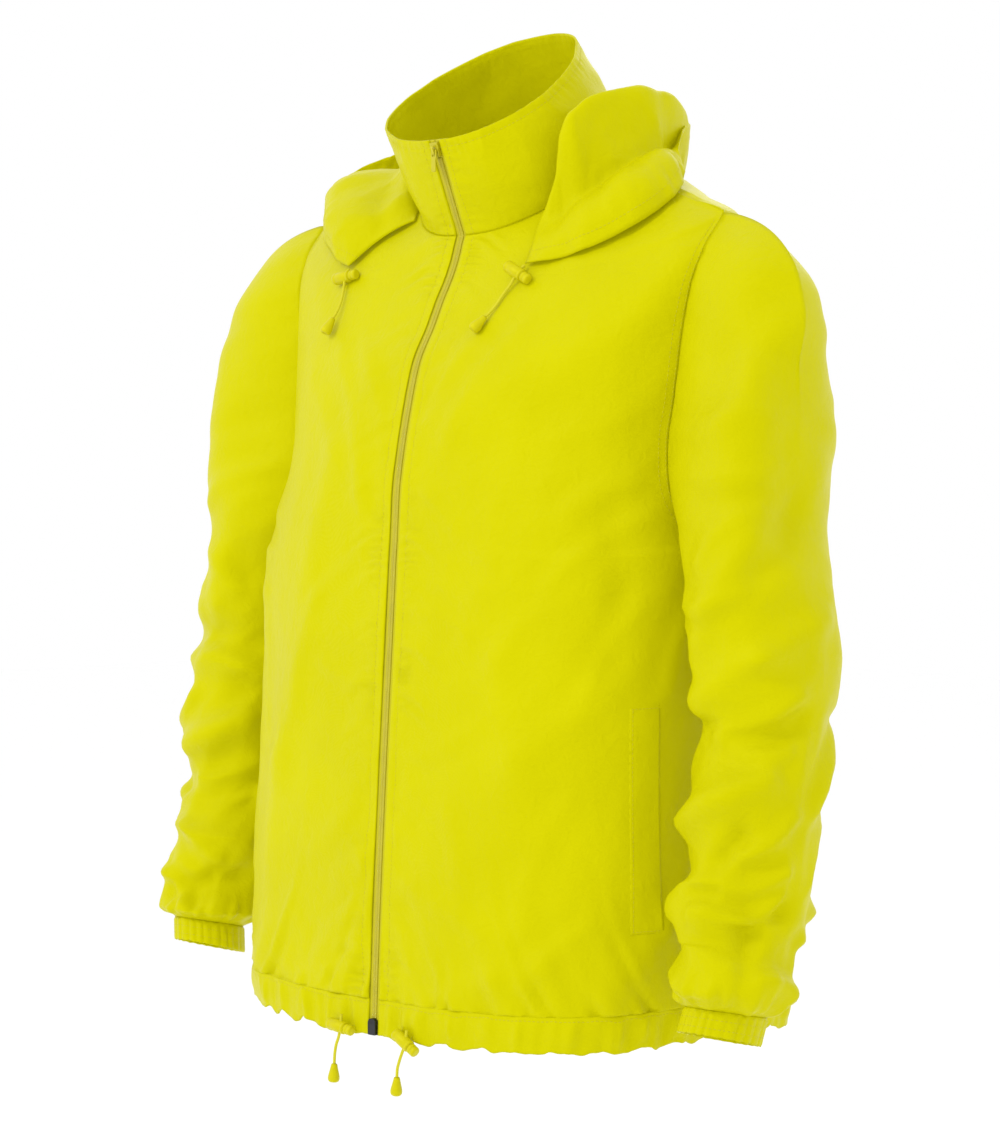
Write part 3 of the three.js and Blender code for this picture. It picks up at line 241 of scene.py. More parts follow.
def smooth_route(points, count):
    """Evenly spaced points on one smooth curve through a route's points."""
    points = np.array(points, float)
    ends = np.vstack([2 * points[0] - points[1], points, 2 * points[-1] - points[-2]])
    line = []
    for k in range(len(points) - 1):
        p0, p1, p2, p3 = ends[k : k + 4]
        for u in np.linspace(0, 1, 40, endpoint=False):
            line.append(
                0.5
                * (
                    2 * p1
                    + (p2 - p0) * u
                    + (2 * p0 - 5 * p1 + 4 * p2 - p3) * u**2
                    + (3 * p1 - 3 * p2 + p3 - p0) * u**3
                )
            )
    line = np.array(line + [points[-1]])
    reach = np.concatenate([[0], np.cumsum(np.linalg.norm(np.diff(line, axis=0), axis=1))])
    even = np.linspace(0, reach[-1], count)
    return np.stack([np.interp(even, reach, line[:, axis]) for axis in range(3)], axis=1), reach[-1]


def link_mesh(name, points, faces, material, slot_name, body="jacket"):
    """A smooth-shaded piece from points in millimetres, riding on a body."""
    mesh = bpy.data.meshes.new(name)
    mesh.from_pydata((np.asarray(points, float) / 1000).tolist(), [], [tuple(f) for f in faces])
    mesh.update()
    mesh.shade_smooth()
    mesh.materials.append(material)
    piece = bpy.data.objects.new(name, mesh)
    bpy.context.collection.objects.link(piece)
    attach(piece, body)
    return piece


def turned(profile, sides, start, along):
    """Points and faces of a profile turned about a line from start along a direction."""
    along = np.array(along, float) / np.linalg.norm(along)
    across = np.cross(along, (0, 0, 1) if abs(along[2]) < 0.9 else (1, 0, 0))
    across /= np.linalg.norm(across)
    third = np.cross(along, across)
    points, faces = [], []
    for radius, height in profile:
        for k in range(sides):
            angle = 2 * math.pi * k / sides
            side = across * math.cos(angle) + third * math.sin(angle)
            points.append(np.array(start) + along * height + side * max(radius, 1e-4))
    for i in range(len(profile) - 1):
        for k in range(sides):
            n = (k + 1) % sides
            faces.append((i * sides + k, i * sides + n, (i + 1) * sides + n, (i + 1) * sides + k))
    return points, faces


for cord_name, route in CORD_ROUTES.items():
    family, side_name = cord_name.split("_")
    line, cord_length = smooth_route(route, CORD_POINTS)
    curve = bpy.data.curves.new(f"{family}_drawcord_{side_name}", "CURVE")
    curve.dimensions = "3D"
    curve.bevel_depth = CORD_DIAMETER / 2000
    curve.bevel_resolution = 5
    curve.use_fill_caps = True
    strand = curve.splines.new("POLY")
    strand.points.add(CORD_POINTS - 1)
    for spot, place in zip(strand.points, line):
        spot.co = (*(place / 1000), 1)
    strand.use_smooth = True
    curve.materials.append(BRAID)
    cord = bpy.data.objects.new(f"{family}_drawcord_{side_name}", curve)
    bpy.context.collection.objects.link(cord)
    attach(cord, "jacket")
    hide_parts(f"{family}_cord_{side_name}")

    along = line[-1] - line[-2]
    bell = link_mesh(
        f"{family}_cord_bell_{side_name}",
        *turned(BELL_PROFILE, MOULDED_SIDES, line[-1] + 0.3 * along / np.linalg.norm(along), along),
        MOULDED,
        "moulded",
    )
    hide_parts(f"{family}_bell_{side_name}")
    seat = line[round(LOCK_AT[cord_name] * (CORD_POINTS - 1))]
    tilt = math.radians(LOCK_TURNS[cord_name])
    barrel = (-math.cos(tilt), 0, -math.sin(tilt))
    lock = link_mesh(
        f"{family}_cord_lock_{side_name}",
        *turned(LOCK_PROFILE, MOULDED_SIDES, seat, barrel),
        MOULDED,
        "moulded",
    )
    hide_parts(f"{family}_lock_{side_name}")


# Fronts: two panels of thin woven nylon, cut to meet at the zip. Their free edges are turned under
# and topstitched beside the zip, which draws the cloth there into small puckers.
ZIP_HALF = 5
WALL = 0.9
NECK = 18
ARMPIT = 5
SHOULDER_TIP = 14
HEM_TOP = 1
ROW_SAMPLES = 240
FRONT_TABLE = [  # midZ, depth, sideX, sideY, sideZ, turn, square
    (-650, 168, 208, 0, -642, 90, 3),
    (-624, 167, 212, 0, -616, 90, 3),
    (-560, 164, 214, 0, -552, 90, 3),
    (-430, 156, 210, 0, -424, 90, 3),
    (-360, 151, 211.5, 0, -352, 90, 3),
    (-300, 147, 210, 0, -290, 90, 3),
    (-288, 146, 206, -32, -285, 84, 2.9),
    (-272, 145, 199, -54, -268, 78, 2.8),
    (-250, 143.5, 193, -60, -245, 73, 2.7),
    (-222, 139, 190, -58, -215, 70, 2.6),
    (-190, 132, 193, -54, -180, 68, 2.5),
    (-155, 122, 198, -52, -136, 70, 2.4),
    (-128, 107, 203, -49, -104, 72, 2.4),
    (-108, 97, 207, -38, -75, 73, 2.3),
    (-94, 89, 208, -18, -50, 75, 2.3),
    (-84, 84, 175, -12, -38, 84, 2.2),
    (-74, 80, 145, -7, -27, 88, 2.2),
    (-66, 77.5, 113, -2, -15, 90, 2.1),
    (-59, 75, 84, 2, -3, 90, 2.1),
]
HEM_RISE_RIGHT = 10
HEM_RISE_ROWS = 3
SHOULDER_RISE_RIGHT = 12
FOLD_FREE_EDGE = 30
NYLON_DARK = (0.500, 0.474, 0.0010)
NYLON_LIGHT = (0.560, 0.536, 0.0010)
# painted glow: the colour of a faint emission that brightens the nylon's shaded parts
NYLON_PAINTED_GLOW = (0.80, 0.77, 0.0, 1)
THREAD_COLOUR = (0.58, 0.54, 0.002)
STITCH_PITCH = 3.3
STITCH_LENGTH = 2.3
STITCH_RADIUS = 0.24

# Creases in the cloth: from one place (across, height) to another, then width, height and bow. A
# ridge has a hollow beside it, on the side that its bow's sign gives.
FRONT_LEFT_CREASES = [
    (205, -120, 45, -196, 22, 2.6, 0), (181, -268, 192, -320, 15, -2.6, 0),
    (192, -320, 184, -368, 15, -2.2, 0), (120, -442, 182, -398, 14, 2.6, 0),
    (102, -370, 124, -492, 20, 2.2, 0), (48, -624, 106, -599, 12, 2.6, 0),
    (106, -599, 147, -587, 12, 2.6, 0), (195, -605, 240, -559, 14, 3, 0),
    (232, -236, 150, -262, 9, 1.6, 6), (226, -262, 138, -318, 8, 1.4, 8),
    (212, -176, 130, -214, 9, 1.2, -5), (60, -120, 28, -170, 7, 1.1, 3),
    (88, -132, 40, -214, 8, 1.0, 5), (26, -250, 92, -300, 8, 0.9, 4),
    (22, -338, 70, -352, 6, 0.9, -3), (20, -446, 84, -420, 7, 1.0, 4),
    (24, -540, 96, -566, 8, 1.2, -4), (160, -470, 128, -560, 9, 1.2, 6),
    (176, -560, 130, -604, 7, 1.3, 4), (60, -480, 76, -560, 9, 1.0, -5),
    (150, -330, 96, -372, 9, 1.0, 5), (250, -330, 232, -392, 8, 1.4, 4),
    (262, -470, 236, -560, 9, 1.6, -5), (206, -330, 170, -392, 7, 1.1, 3),
]
FRONT_RIGHT_CREASES = [
    (71, -225, 120, -457, 17, 3, 0), (120, -457, 139, -615, 17, 3, 0),
    (98, -566, 151, -625, 14, 2.6, 0), (46, -150, 34, -250, 14, 1.8, 0),
    (160, -130, 168, -230, 16, -2.2, 0), (224, -244, 150, -272, 9, 1.6, -6),
    (60, -142, 20, -196, 7, 1.2, 4), (84, -150, 30, -262, 8, 1.3, 7),
    (120, -170, 56, -240, 9, 1.1, 5), (30, -300, 80, -336, 7, 0.9, -4),
    (22, -392, 66, -380, 6, 0.9, 3), (26, -480, 70, -520, 8, 1.1, 4),
    (18, -560, 60, -600, 7, 1.2, -3), (176, -330, 150, -440, 10, 1.6, 6),
    (206, -420, 180, -540, 10, 1.6, -6), (238, -500, 212, -590, 9, 1.5, 5),
    (76, -330, 100, -420, 8, 1.1, -4), (196, -270, 172, -330, 8, 1.2, 4),
]


def smooth(x):
    u = np.clip(x, 0, 1)
    return u * u * (3 - 2 * u)


def between(table, t):
    """Smooth values between a table's rows that never overshoot them."""
    table = np.asarray(table, float)
    t = np.atleast_1d(np.asarray(t, float))
    last = len(table) - 1
    i = np.clip(np.floor(t).astype(int), 0, last - 1)
    u = (t - i)[:, None]
    steps = np.diff(table, axis=0)
    product = steps[:-1] * steps[1:]
    total = np.where(product > 0, steps[:-1] + steps[1:], 1)
    slopes = np.vstack([steps[:1], np.where(product > 0, 2 * product / total, 0), steps[-1:]])
    return (
        (2 * u**3 - 3 * u**2 + 1) * table[i]
        + (u**3 - 2 * u**2 + u) * slopes[i]
        + (3 * u**2 - 2 * u**3) * table[i + 1]
        + (u**3 - u**2) * slopes[i + 1]
    )


def body_lines(table, front, t):
    """Rows of the body from its middle to the side, evenly sampled, and their lengths."""
    mid_z, depth, side_x, side_y, side_z, turn, square = between(table, t).T[:, :, None]
    power = 2 / square
    turn = np.radians(turn)
    angle = turn * smooth(np.linspace(0, 1, 91))[None]
    end_cos = np.maximum(np.cos(turn), 0) ** power
    out = np.sin(angle) ** power / np.sin(turn) ** power
    back = (np.maximum(np.cos(angle), 0) ** power - end_cos) / (1 - end_cos)
    mid_x = ZIP_HALF if front else 0
    mid_y = -depth if front else depth
    line = np.stack(
        [
            mid_x + (side_x - mid_x) * out,
            side_y + (mid_y - side_y) * back,
            side_z + (mid_z - side_z) * back,
        ],
        axis=2,
    )
    gaps = np.linalg.norm(np.diff(line, axis=1), axis=2)
    reach = np.concatenate([np.zeros((len(line), 1)), np.cumsum(gaps, axis=1)], axis=1)
    even = np.linspace(0, 1, ROW_SAMPLES + 1)
    resampled = np.array(
        [
            np.stack([np.interp(even * r[-1], r, row[:, axis]) for axis in range(3)], axis=1)
            for r, row in zip(reach, line)
        ]
    )
    return resampled, reach[:, -1]


def grid_normals(grid, closed, middle):
    """Unit normals of a grid of points, pointing away from its middle."""
    if closed:
        run = np.roll(grid, -1, axis=1) - np.roll(grid, 1, axis=1)
    else:
        run = np.gradient(grid, axis=1)
    rise = np.gradient(grid, axis=0)
    normals = np.cross(rise, run)
    normals /= np.maximum(np.linalg.norm(normals, axis=2, keepdims=True), 1e-9)
    return normals if np.sum(normals * (grid - middle)) > 0 else -normals


def body_middle(grid):
    middle = np.zeros_like(grid)
    middle[..., 2] = grid[..., 2]
    return middle


def creases(table, across, height, scale=1.0):
    """How far the cloth stands out at each place, for a table of creases."""
    total = np.zeros_like(height)
    for p0, q0, p1, q1, width, lift, bow in table:
        run = np.array([(p1 - p0) * scale, q1 - q0], float)
        length = np.hypot(*run)
        x, y = (across - p0) * scale, height - q0
        along = (x * run[0] + y * run[1]) / length**2
        held = np.clip(along, 0, 1)
        aside = (x * run[1] - y * run[0]) / length - bow * np.sin(np.pi * held)
        beyond = np.abs(along - held) * length
        near = np.hypot(aside, beyond) / width
        total += lift * np.exp(-(near**2))
        if bow:
            beside = np.hypot(aside - math.copysign(1.7 * width, bow), beyond) / (1.2 * width)
            total -= 0.55 * lift * np.exp(-(beside**2))
    return total


def ripples(across, height, size, seed, count=9):
    """A slow uneven rise and fall of the cloth, from about -1 to 1."""
    draw = np.random.default_rng(seed)
    total = np.zeros_like(height, dtype=float)
    for _ in range(count):
        turn = draw.uniform(0, math.pi)
        length = size * draw.uniform(0.6, 1.7)
        phase = draw.uniform(0, 2 * math.pi)
        warp = 0.9 * np.sin(
            (across * math.sin(turn) - height * math.cos(turn)) / (length * 0.9) + 3 * phase
        )
        total += np.sin(
            2 * math.pi * (across * math.cos(turn) + height * math.sin(turn)) / length + phase + warp
        )
    return total / math.sqrt(count)


def ridges(across, height, size, seed):
    """Sharp crests with flat facets between them, as crisp nylon folds: about -0.5 to 0.5."""
    return 0.5 - np.abs(ripples(across, height, size, seed))


def puckers(distance, along, reach, pitch, seed):
    """Small puckers that a line of stitches draws in, fading with distance from it."""
    drift = np.sin(along / 11.3 + seed) + np.sin(along / 6.1 + 2.1 * seed) + 0.6 * distance / pitch
    size = 0.62 + 0.38 * np.sin(along / 23.0 + 1.7 * seed) * np.sin(along / 9.7 + seed)
    fade = np.exp(-((distance / reach) ** 2))
    return size * fade * np.sin(2 * math.pi * along / pitch + 1.5 * drift)


def body_points(table, front, side, t, shares, folds=()):
    """Points of the body's outer surface at rows t and shares of each row's length."""
    lines, lengths = body_lines(table, front, t)
    shares = np.broadcast_to(shares, (len(lines), np.shape(shares)[-1]))
    spot = np.clip(shares, 0, 1) * ROW_SAMPLES
    i = np.minimum(spot.astype(int), ROW_SAMPLES - 1)
    u = (spot - i)[..., None]
    rows = np.arange(len(lines))[:, None]
    grid = lines[rows, i] * (1 - u) + lines[rows, i + 1] * u
    across = shares * lengths[:, None]
    if len(folds):
        rows_t = np.asarray(t, float)[:, None]
        fade = smooth((1 - shares) * lengths[:, None] / FOLD_FREE_EDGE)
        fade = fade * smooth((NECK - rows_t) * 15 / FOLD_FREE_EDGE)
        if front:
            fade = fade * smooth(across / FOLD_FREE_EDGE)
        signed = across if front else side * across
        lift = fade * creases(folds, signed, grid[..., 2])
        grid = grid + grid_normals(grid, False, body_middle(grid)) * lift[..., None]
    if side < 0:
        rows_t = np.asarray(t, float)[:, None]
        hem = smooth((HEM_RISE_ROWS - rows_t) / HEM_RISE_ROWS)
        shoulder = smooth((rows_t - 8) / 5) * smooth((NECK - rows_t) / 3)
        grid[..., 2] += smooth(shares) * (HEM_RISE_RIGHT * hem + SHOULDER_RISE_RIGHT * shoulder)
    grid[..., 0] *= side
    return grid, across, lengths


def weave():
    """The cloth's close plain weave with its small crinkles, as a height from 0 to 1."""
    group, given, out = node_group("plain_weave", [("Threads", 1500.0), ("Crinkle", 120.0)], ["Height", "Crinkles"])
    place = group.nodes.new("ShaderNodeTexCoord")
    waves = []
    for turn in ((0.0, 0.0, 0.3), (math.pi / 2, 0.0, 0.3)):
        rotate = group.nodes.new("ShaderNodeVectorRotate")
        rotate.rotation_type = "EULER_XYZ"
        rotate.inputs["Rotation"].default_value = turn
        group.links.new(place.outputs["Object"], rotate.inputs["Vector"])
        wave = group.nodes.new("ShaderNodeTexWave")
        wave.bands_direction = "Z"
        wave.inputs["Distortion"].default_value = 0.4
        group.links.new(rotate.outputs["Vector"], wave.inputs["Vector"])
        group.links.new(given.outputs["Threads"], wave.inputs["Scale"])
        waves.append(wave.outputs["Fac"])
    group.links.new(maths(group, "MULTIPLY", waves[0], waves[1]), out.inputs["Height"])
    crinkle = group.nodes.new("ShaderNodeTexNoise")
    crinkle.inputs["Detail"].default_value = 4
    crinkle.inputs["Roughness"].default_value = 0.55
    crinkle.inputs["Distortion"].default_value = 0.6
    group.links.new(place.outputs["Object"], crinkle.inputs["Vector"])
    group.links.new(given.outputs["Crinkle"], crinkle.inputs["Scale"])
    group.links.new(crinkle.outputs["Fac"], out.inputs["Crinkles"])
    return group


WEAVE = weave()


def nylon_material(name, dark, light, crinkle_depth=0.0017):
    material, tree, shader = new_material(name, light, 0.46)
    shader.inputs["Specular Tint"].default_value = (1.0, 0.96, 0.03, 1)
    shader.inputs["Specular IOR Level"].default_value = 0.14
    # painted glow: a faint yellow emission that brightens the cloth where it lies in shade, standing in for light
    # through the thin nylon and for the dye's fluorescence
    shader.inputs["Emission Color"].default_value = NYLON_PAINTED_GLOW
    shader.inputs["Emission Strength"].default_value = 0.1
    patches = place_group(tree, MOTTLING, Scale=14.0)
    cloth = place_group(tree, WEAVE)
    mask = maths(tree, "MULTIPLY_ADD", cloth.outputs["Height"], 0.25, patches.outputs["Mask"])
    tint(tree, shader, mask, dark, light)
    tree.links.new(spread(tree, patches.outputs["Mask"], 0.34, 0.46), shader.inputs["Roughness"])
    fine = bump(tree, shader, cloth.outputs["Height"], 0.00006, 0.5)
    bump(tree, shader, cloth.outputs["Crinkles"], crinkle_depth, 0.5, under=fine)
    return material


def thread_material():
    material, tree, shader = new_material("sewing_thread", THREAD_COLOUR, 0.6)
    twist = tree.nodes.new("ShaderNodeTexWave")
    place = tree.nodes.new("ShaderNodeTexCoord")
    tree.links.new(place.outputs["Object"], twist.inputs["Vector"])
    twist.inputs["Scale"].default_value = 900
    tint(tree, shader, twist.outputs["Fac"], (0.55, 0.50, 0.002), (0.66, 0.61, 0.002))
    return material


NYLON = nylon_material("yellow_nylon", NYLON_DARK, NYLON_LIGHT)
THREAD = thread_material()


def cloth_piece(name, grid, closed, middle, replaced, thickness=WALL, material=NYLON, outward=1):
    """A panel of cloth through a grid of points in millimetres, with its thickness inward."""
    rows, wide = grid.shape[:2]
    ids = np.arange(rows * wide).reshape(rows, wide)
    if closed:
        ids = np.hstack([ids, ids[:, :1]])
    faces = np.stack([ids[:-1, :-1], ids[:-1, 1:], ids[1:, 1:], ids[1:, :-1]], axis=2).reshape(-1, 4)
    run = grid[1:-1, 1 : wide - 1]
    facing = np.cross(
        grid[1:-1, 2:] - grid[1:-1, : wide - 2], grid[2:, 1 : wide - 1] - grid[: rows - 2, 1 : wide - 1]
    )
    if outward * np.sum(facing * (run - middle[1:-1, 1 : wide - 1])) < 0:
        faces = faces[:, ::-1]
    piece = link_mesh(name, grid.reshape(-1, 3), faces, material, "nylon")
    shell = piece.modifiers.new("cloth_thickness", "SOLIDIFY")
    shell.thickness = thickness / 1000
    shell.offset = -1
    for node in replaced:
        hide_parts(node)
    return piece


def cloth_area(grid, closed=False):
    if closed:
        grid = np.concatenate([grid, grid[:, :1]], axis=1)
    first = np.cross(grid[1:, :-1] - grid[:-1, :-1], grid[:-1, 1:] - grid[:-1, :-1])
    second = np.cross(grid[1:, :-1] - grid[1:, 1:], grid[:-1, 1:] - grid[1:, 1:])
    return (np.linalg.norm(first, axis=2).sum() + np.linalg.norm(second, axis=2).sum()) / 2e6


def stitch_line(line, normals, pitch=STITCH_PITCH):
    """The places, directions and normals of the stitches along a line of points."""
    line, normals = np.asarray(line), np.asarray(normals)
    reach = np.concatenate([[0], np.cumsum(np.linalg.norm(np.diff(line, axis=0), axis=1))])
    even = np.arange(pitch / 2, reach[-1], pitch)
    place = np.stack([np.interp(even, reach, line[:, k]) for k in range(3)], axis=1)
    ahead = np.stack([np.interp(even + 1, reach, line[:, k]) for k in range(3)], axis=1)
    behind = np.stack([np.interp(even - 1, reach, line[:, k]) for k in range(3)], axis=1)
    out = np.stack([np.interp(even, reach, normals[:, k]) for k in range(3)], axis=1)
    return place, ahead - behind, out


def sewn(name, seams, radius=STITCH_RADIUS, length=STITCH_LENGTH):
    """One piece with all the stitches of some seams: short rods that dip into the cloth at each end."""
    rings = [(-0.5, 0.35, -0.35), (-0.3, 1.0, 0.15), (0.0, 1.0, 0.35), (0.3, 1.0, 0.15), (0.5, 0.35, -0.35)]
    sides = 5
    points, faces = [], []
    for place, direction, out in seams:
        direction = direction / np.linalg.norm(direction, axis=1, keepdims=True)
        out = out - np.sum(out * direction, axis=1, keepdims=True) * direction
        out /= np.linalg.norm(out, axis=1, keepdims=True)
        aside = np.cross(direction, out)
        for centre, d, o, a in zip(place, direction, out, aside):
            base = len(points)
            for shift, wide, lift in rings:
                for k in range(sides):
                    angle = 2 * math.pi * k / sides
                    ring = o * math.cos(angle) + a * math.sin(angle)
                    points.append(centre + d * shift * length + o * lift * radius + ring * wide * radius)
            for i in range(len(rings) - 1):
                for k in range(sides):
                    n = (k + 1) % sides
                    low, high = base + i * sides, base + (i + 1) * sides
                    faces.append((low + k, low + n, high + n, high + k))
            faces.append(tuple(base + k for k in reversed(range(sides))))
            faces.append(tuple(base + (len(rings) - 1) * sides + k for k in range(sides)))
    return link_mesh(name, points, faces, THREAD, "nylon")


FRONT_T = np.concatenate(
    [np.linspace(HEM_TOP, ARMPIT, 112)[:-1], np.linspace(ARMPIT, SHOULDER_TIP, 62)[:-1], np.linspace(SHOULDER_TIP, NECK, 26)]
)
FRONT_SHARES = np.concatenate([np.linspace(0, 0.1, 20)[:-1], np.linspace(0.1, 0.9, 70)[:-1], np.linspace(0.9, 1, 16)])
ZIP_STITCH = 8.0


def front_cloth(side, folds, seed, t=FRONT_T, shares=FRONT_SHARES):
    """A front's grid of points with its creases, and the puckers along its seams."""
    grid, across, lengths = body_points(FRONT_TABLE, True, side, t, shares, folds)
    rows_t = np.asarray(t)[:, None]
    z = grid[..., 2]
    to_side = lengths[:, None] - across
    above_hem = (rows_t - HEM_TOP) / (ARMPIT - HEM_TOP) * 324
    free = smooth(across / 3) * smooth(to_side / 6) * smooth(above_hem / 3) * smooth((NECK - rows_t) / 0.5)
    lift = 1.2 * puckers(np.abs(across - ZIP_STITCH - 4), z, 9, 6.5, seed)
    lift += 0.9 * puckers(np.abs(across - 26), z + 0.5 * across, 16, 24, seed + 1)
    arm = smooth((rows_t - ARMPIT) / 1.5) * smooth((SHOULDER_TIP + 0.6 - rows_t) / 1.5)
    lift += 0.7 * arm * puckers(to_side, z, 12, 11, seed + 2)
    lift += 0.5 * (rows_t < ARMPIT) * puckers(to_side, z, 10, 12, seed + 3)
    lift += 1.8 * puckers(above_hem, across, 34, 27, seed + 4) + 2.2 * puckers(above_hem, across + 0.4 * above_hem, 75, 62, seed + 9)
    lift += 0.8 * puckers(above_hem, across, 12, 11, seed + 5)
    lift += 0.55 * ripples(across, z, 120, seed + 6) + 0.22 * ripples(across, z, 42, seed + 7)
    lift += 1.3 * ridges(across + 0.4 * z, z, 190, seed + 8) + 0.4 * ridges(across - 0.5 * z, z, 80, seed + 10)
    lift -= 0.35 * np.exp(-(((across - ZIP_STITCH) / 1.1) ** 2))
    grid = grid + grid_normals(grid, False, body_middle(grid)) * (free * lift)[..., None]
    return grid


fronts = {}
for side, side_name, folds, seed in ((1, "left", FRONT_LEFT_CREASES, 3), (-1, "right", FRONT_RIGHT_CREASES, 11)):
    grid = front_cloth(side, folds, seed)
    fronts[side] = grid
    piece = cloth_piece(f"front_panel_{side_name}", grid, False, body_middle(grid), [f"front_{side_name}"])
    normals = grid_normals(grid, False, body_middle(grid))
    lengths = body_lines(FRONT_TABLE, True, FRONT_T)[1]
    share = ZIP_STITCH / lengths
    rows = np.arange(len(grid))
    column = np.interp(share, FRONT_SHARES, np.arange(len(FRONT_SHARES)))
    low = column.astype(int)
    u = (column - low)[:, None]
    seam = grid[rows, low] * (1 - u) + grid[rows, low + 1] * u
    stitches = sewn(f"front_stitches_{side_name}", [stitch_line(seam, normals[rows, low])])


# Back: one panel of the same nylon from side seam to side seam, hanging in broad soft folds from the
# shoulder blades. It is sewn to the fronts along the shoulders and sides.
BACK_TABLE = [  # midZ, depth, sideX, sideY, sideZ, turn, square
    (-655, 128, 208, 0, -642, 90, 3),
    (-629, 128, 212, 0, -616, 90, 3),
    (-565, 127.5, 214, 0, -552, 90, 3),
    (-430, 122, 210, 0, -424, 90, 3),
    (-362, 125, 211.5, 0, -352, 90, 3),
    (-300, 128, 210, 0, -290, 90, 3),
    (-280, 128, 206, 34, -283, 84, 2.9),
    (-258, 127.5, 200, 54, -262, 78, 2.8),
    (-232, 127, 196, 58, -235, 74, 2.7),
    (-205, 125.5, 195, 54, -205, 71, 2.6),
    (-175, 121.5, 196, 48, -170, 70, 2.5),
    (-140, 114.5, 199, 38, -130, 72, 2.4),
    (-110, 107, 203, 26, -98, 73, 2.4),
    (-82, 99, 207, 8, -70, 75, 2.3),
    (-55, 92, 208, -18, -50, 77, 2.3),
    (-35, 86.5, 175, -12, -38, 85, 2.2),
    (-15, 81, 145, -7, -27, 88, 2.2),
    (4, 76, 113, -2, -15, 90, 2.1),
    (22, 70, 84, 2, -3, 90, 2.1),
]
BACK_CREASES = [
    (-118, -170, -64, -420, 24, 3, 0), (92, -150, 138, -390, 22, -2.6, 0),
    (-176, -520, -66, -604, 17, 3, 0), (44, -566, 168, -520, 17, 2.6, 0),
    (6, -110, 14, -300, 28, 2.2, 0), (176, -150, 104, -216, 10, 1.8, 7),
    (-182, -160, -110, -236, 10, 1.8, -7), (190, -262, 120, -330, 10, 1.6, 6),
    (-196, -270, -124, -322, 10, 1.7, -6), (-40, -330, -16, -470, 12, 1.5, 6),
    (60, -360, 40, -500, 12, 1.4, -7), (-140, -400, -110, -510, 11, 1.6, -5),
    (150, -420, 120, -500, 11, 1.5, 5), (-30, -540, 60, -600, 10, 1.4, 5),
    (200, -460, 176, -590, 10, 1.7, -6), (-210, -430, -190, -560, 10, 1.6, 5),
    (-90, -580, -40, -612, 8, 1.3, 3), (110, -240, 60, -290, 9, 1.1, 4),
]
BACK_SHARES = np.concatenate([np.linspace(0, 0.92, 80)[:-1], np.linspace(0.92, 1, 14)])


def back_cloth(t=FRONT_T, shares=BACK_SHARES):
    """The back's grid of points from the right side seam to the left, with its creases and puckers."""
    halves = []
    for side in (-1, 1):
        grid, across, lengths = body_points(BACK_TABLE, False, side, t, shares, BACK_CREASES)
        halves.append((grid, side * across, lengths[:, None] - across))
    (right, right_across, right_edge), (left, left_across, left_edge) = halves
    grid = np.concatenate([right[:, :0:-1], left], axis=1)
    across = np.concatenate([right_across[:, :0:-1], left_across], axis=1)
    to_side = np.concatenate([right_edge[:, :0:-1], left_edge], axis=1)
    rows_t = np.asarray(t)[:, None]
    z = grid[..., 2]
    above_hem = (rows_t - HEM_TOP) / (ARMPIT - HEM_TOP) * 329
    free = smooth(to_side / 6) * smooth(above_hem / 3) * smooth((NECK - rows_t) / 0.5)
    arm = smooth((rows_t - ARMPIT) / 1.5) * smooth((SHOULDER_TIP + 0.6 - rows_t) / 1.5)
    lift = 0.7 * arm * puckers(to_side, z, 12, 11, 21)
    lift += 0.5 * (rows_t < ARMPIT) * puckers(to_side, z, 10, 12, 22)
    lift += 1.5 * puckers(above_hem, across, 36, 27, 23) + 0.6 * puckers(above_hem, across, 10, 9, 24)
    lift += 0.7 * ripples(across, z, 130, 25) + 0.25 * ripples(across, z, 45, 26)
    lift += 1.3 * ridges(across + 0.4 * z, z, 190, 27) + 0.4 * ridges(across - 0.5 * z, z, 80, 28)
    return grid + grid_normals(grid, False, body_middle(grid)) * (free * lift)[..., None]


back_grid = back_cloth()
back_panel = cloth_piece("back_panel", back_grid, False, body_middle(back_grid), ["back"])


# Sleeves: each is one set-in piece of nylon with a gathered lower end. The armhole seam is topstitched
# twice on the body side, and the cloth breaks into folds at the elbow and above the cuff.
SLEEVE_TABLES = {  # z, x, y, across, along, tilt
    1: [
        (-330, 267, -49, 49, 59, 0), (-364, 271, -46, 49, 56, 0), (-398, 273, -50, 47, 51, 0),
        (-415, 275, -50, 43, 45, 0), (-446, 276, -60, 46, 48, 0), (-492, 275, -66, 45, 47, 0),
        (-520, 276, -68, 43, 45, 0), (-545, 273, -78, 46, 48, 2), (-566, 276, -80, 38, 39, 4),
        (-590, 276, -86, 42, 44, 5), (-603, 274, -89, 39, 40, 6), (-611, 273, -92, 28, 29, 6),
    ],
    -1: [
        (-330, 262, -28, 47, 57, 0), (-364, 269, -26, 48, 54, 0), (-396, 274, -30, 47, 52, 0),
        (-420, 277, -38, 46, 49, 0), (-446, 280, -44, 49, 51, 0), (-480, 277, -42, 44, 46, 0),
        (-500, 276, -50, 46, 47, 0), (-528, 278, -55, 42, 44, 0), (-552, 280, -62, 46, 47, 2),
        (-575, 281, -70, 41, 42, 4), (-592, 281, -76, 42, 43, 5), (-602, 281, -80, 27, 28, 6),
    ],
}
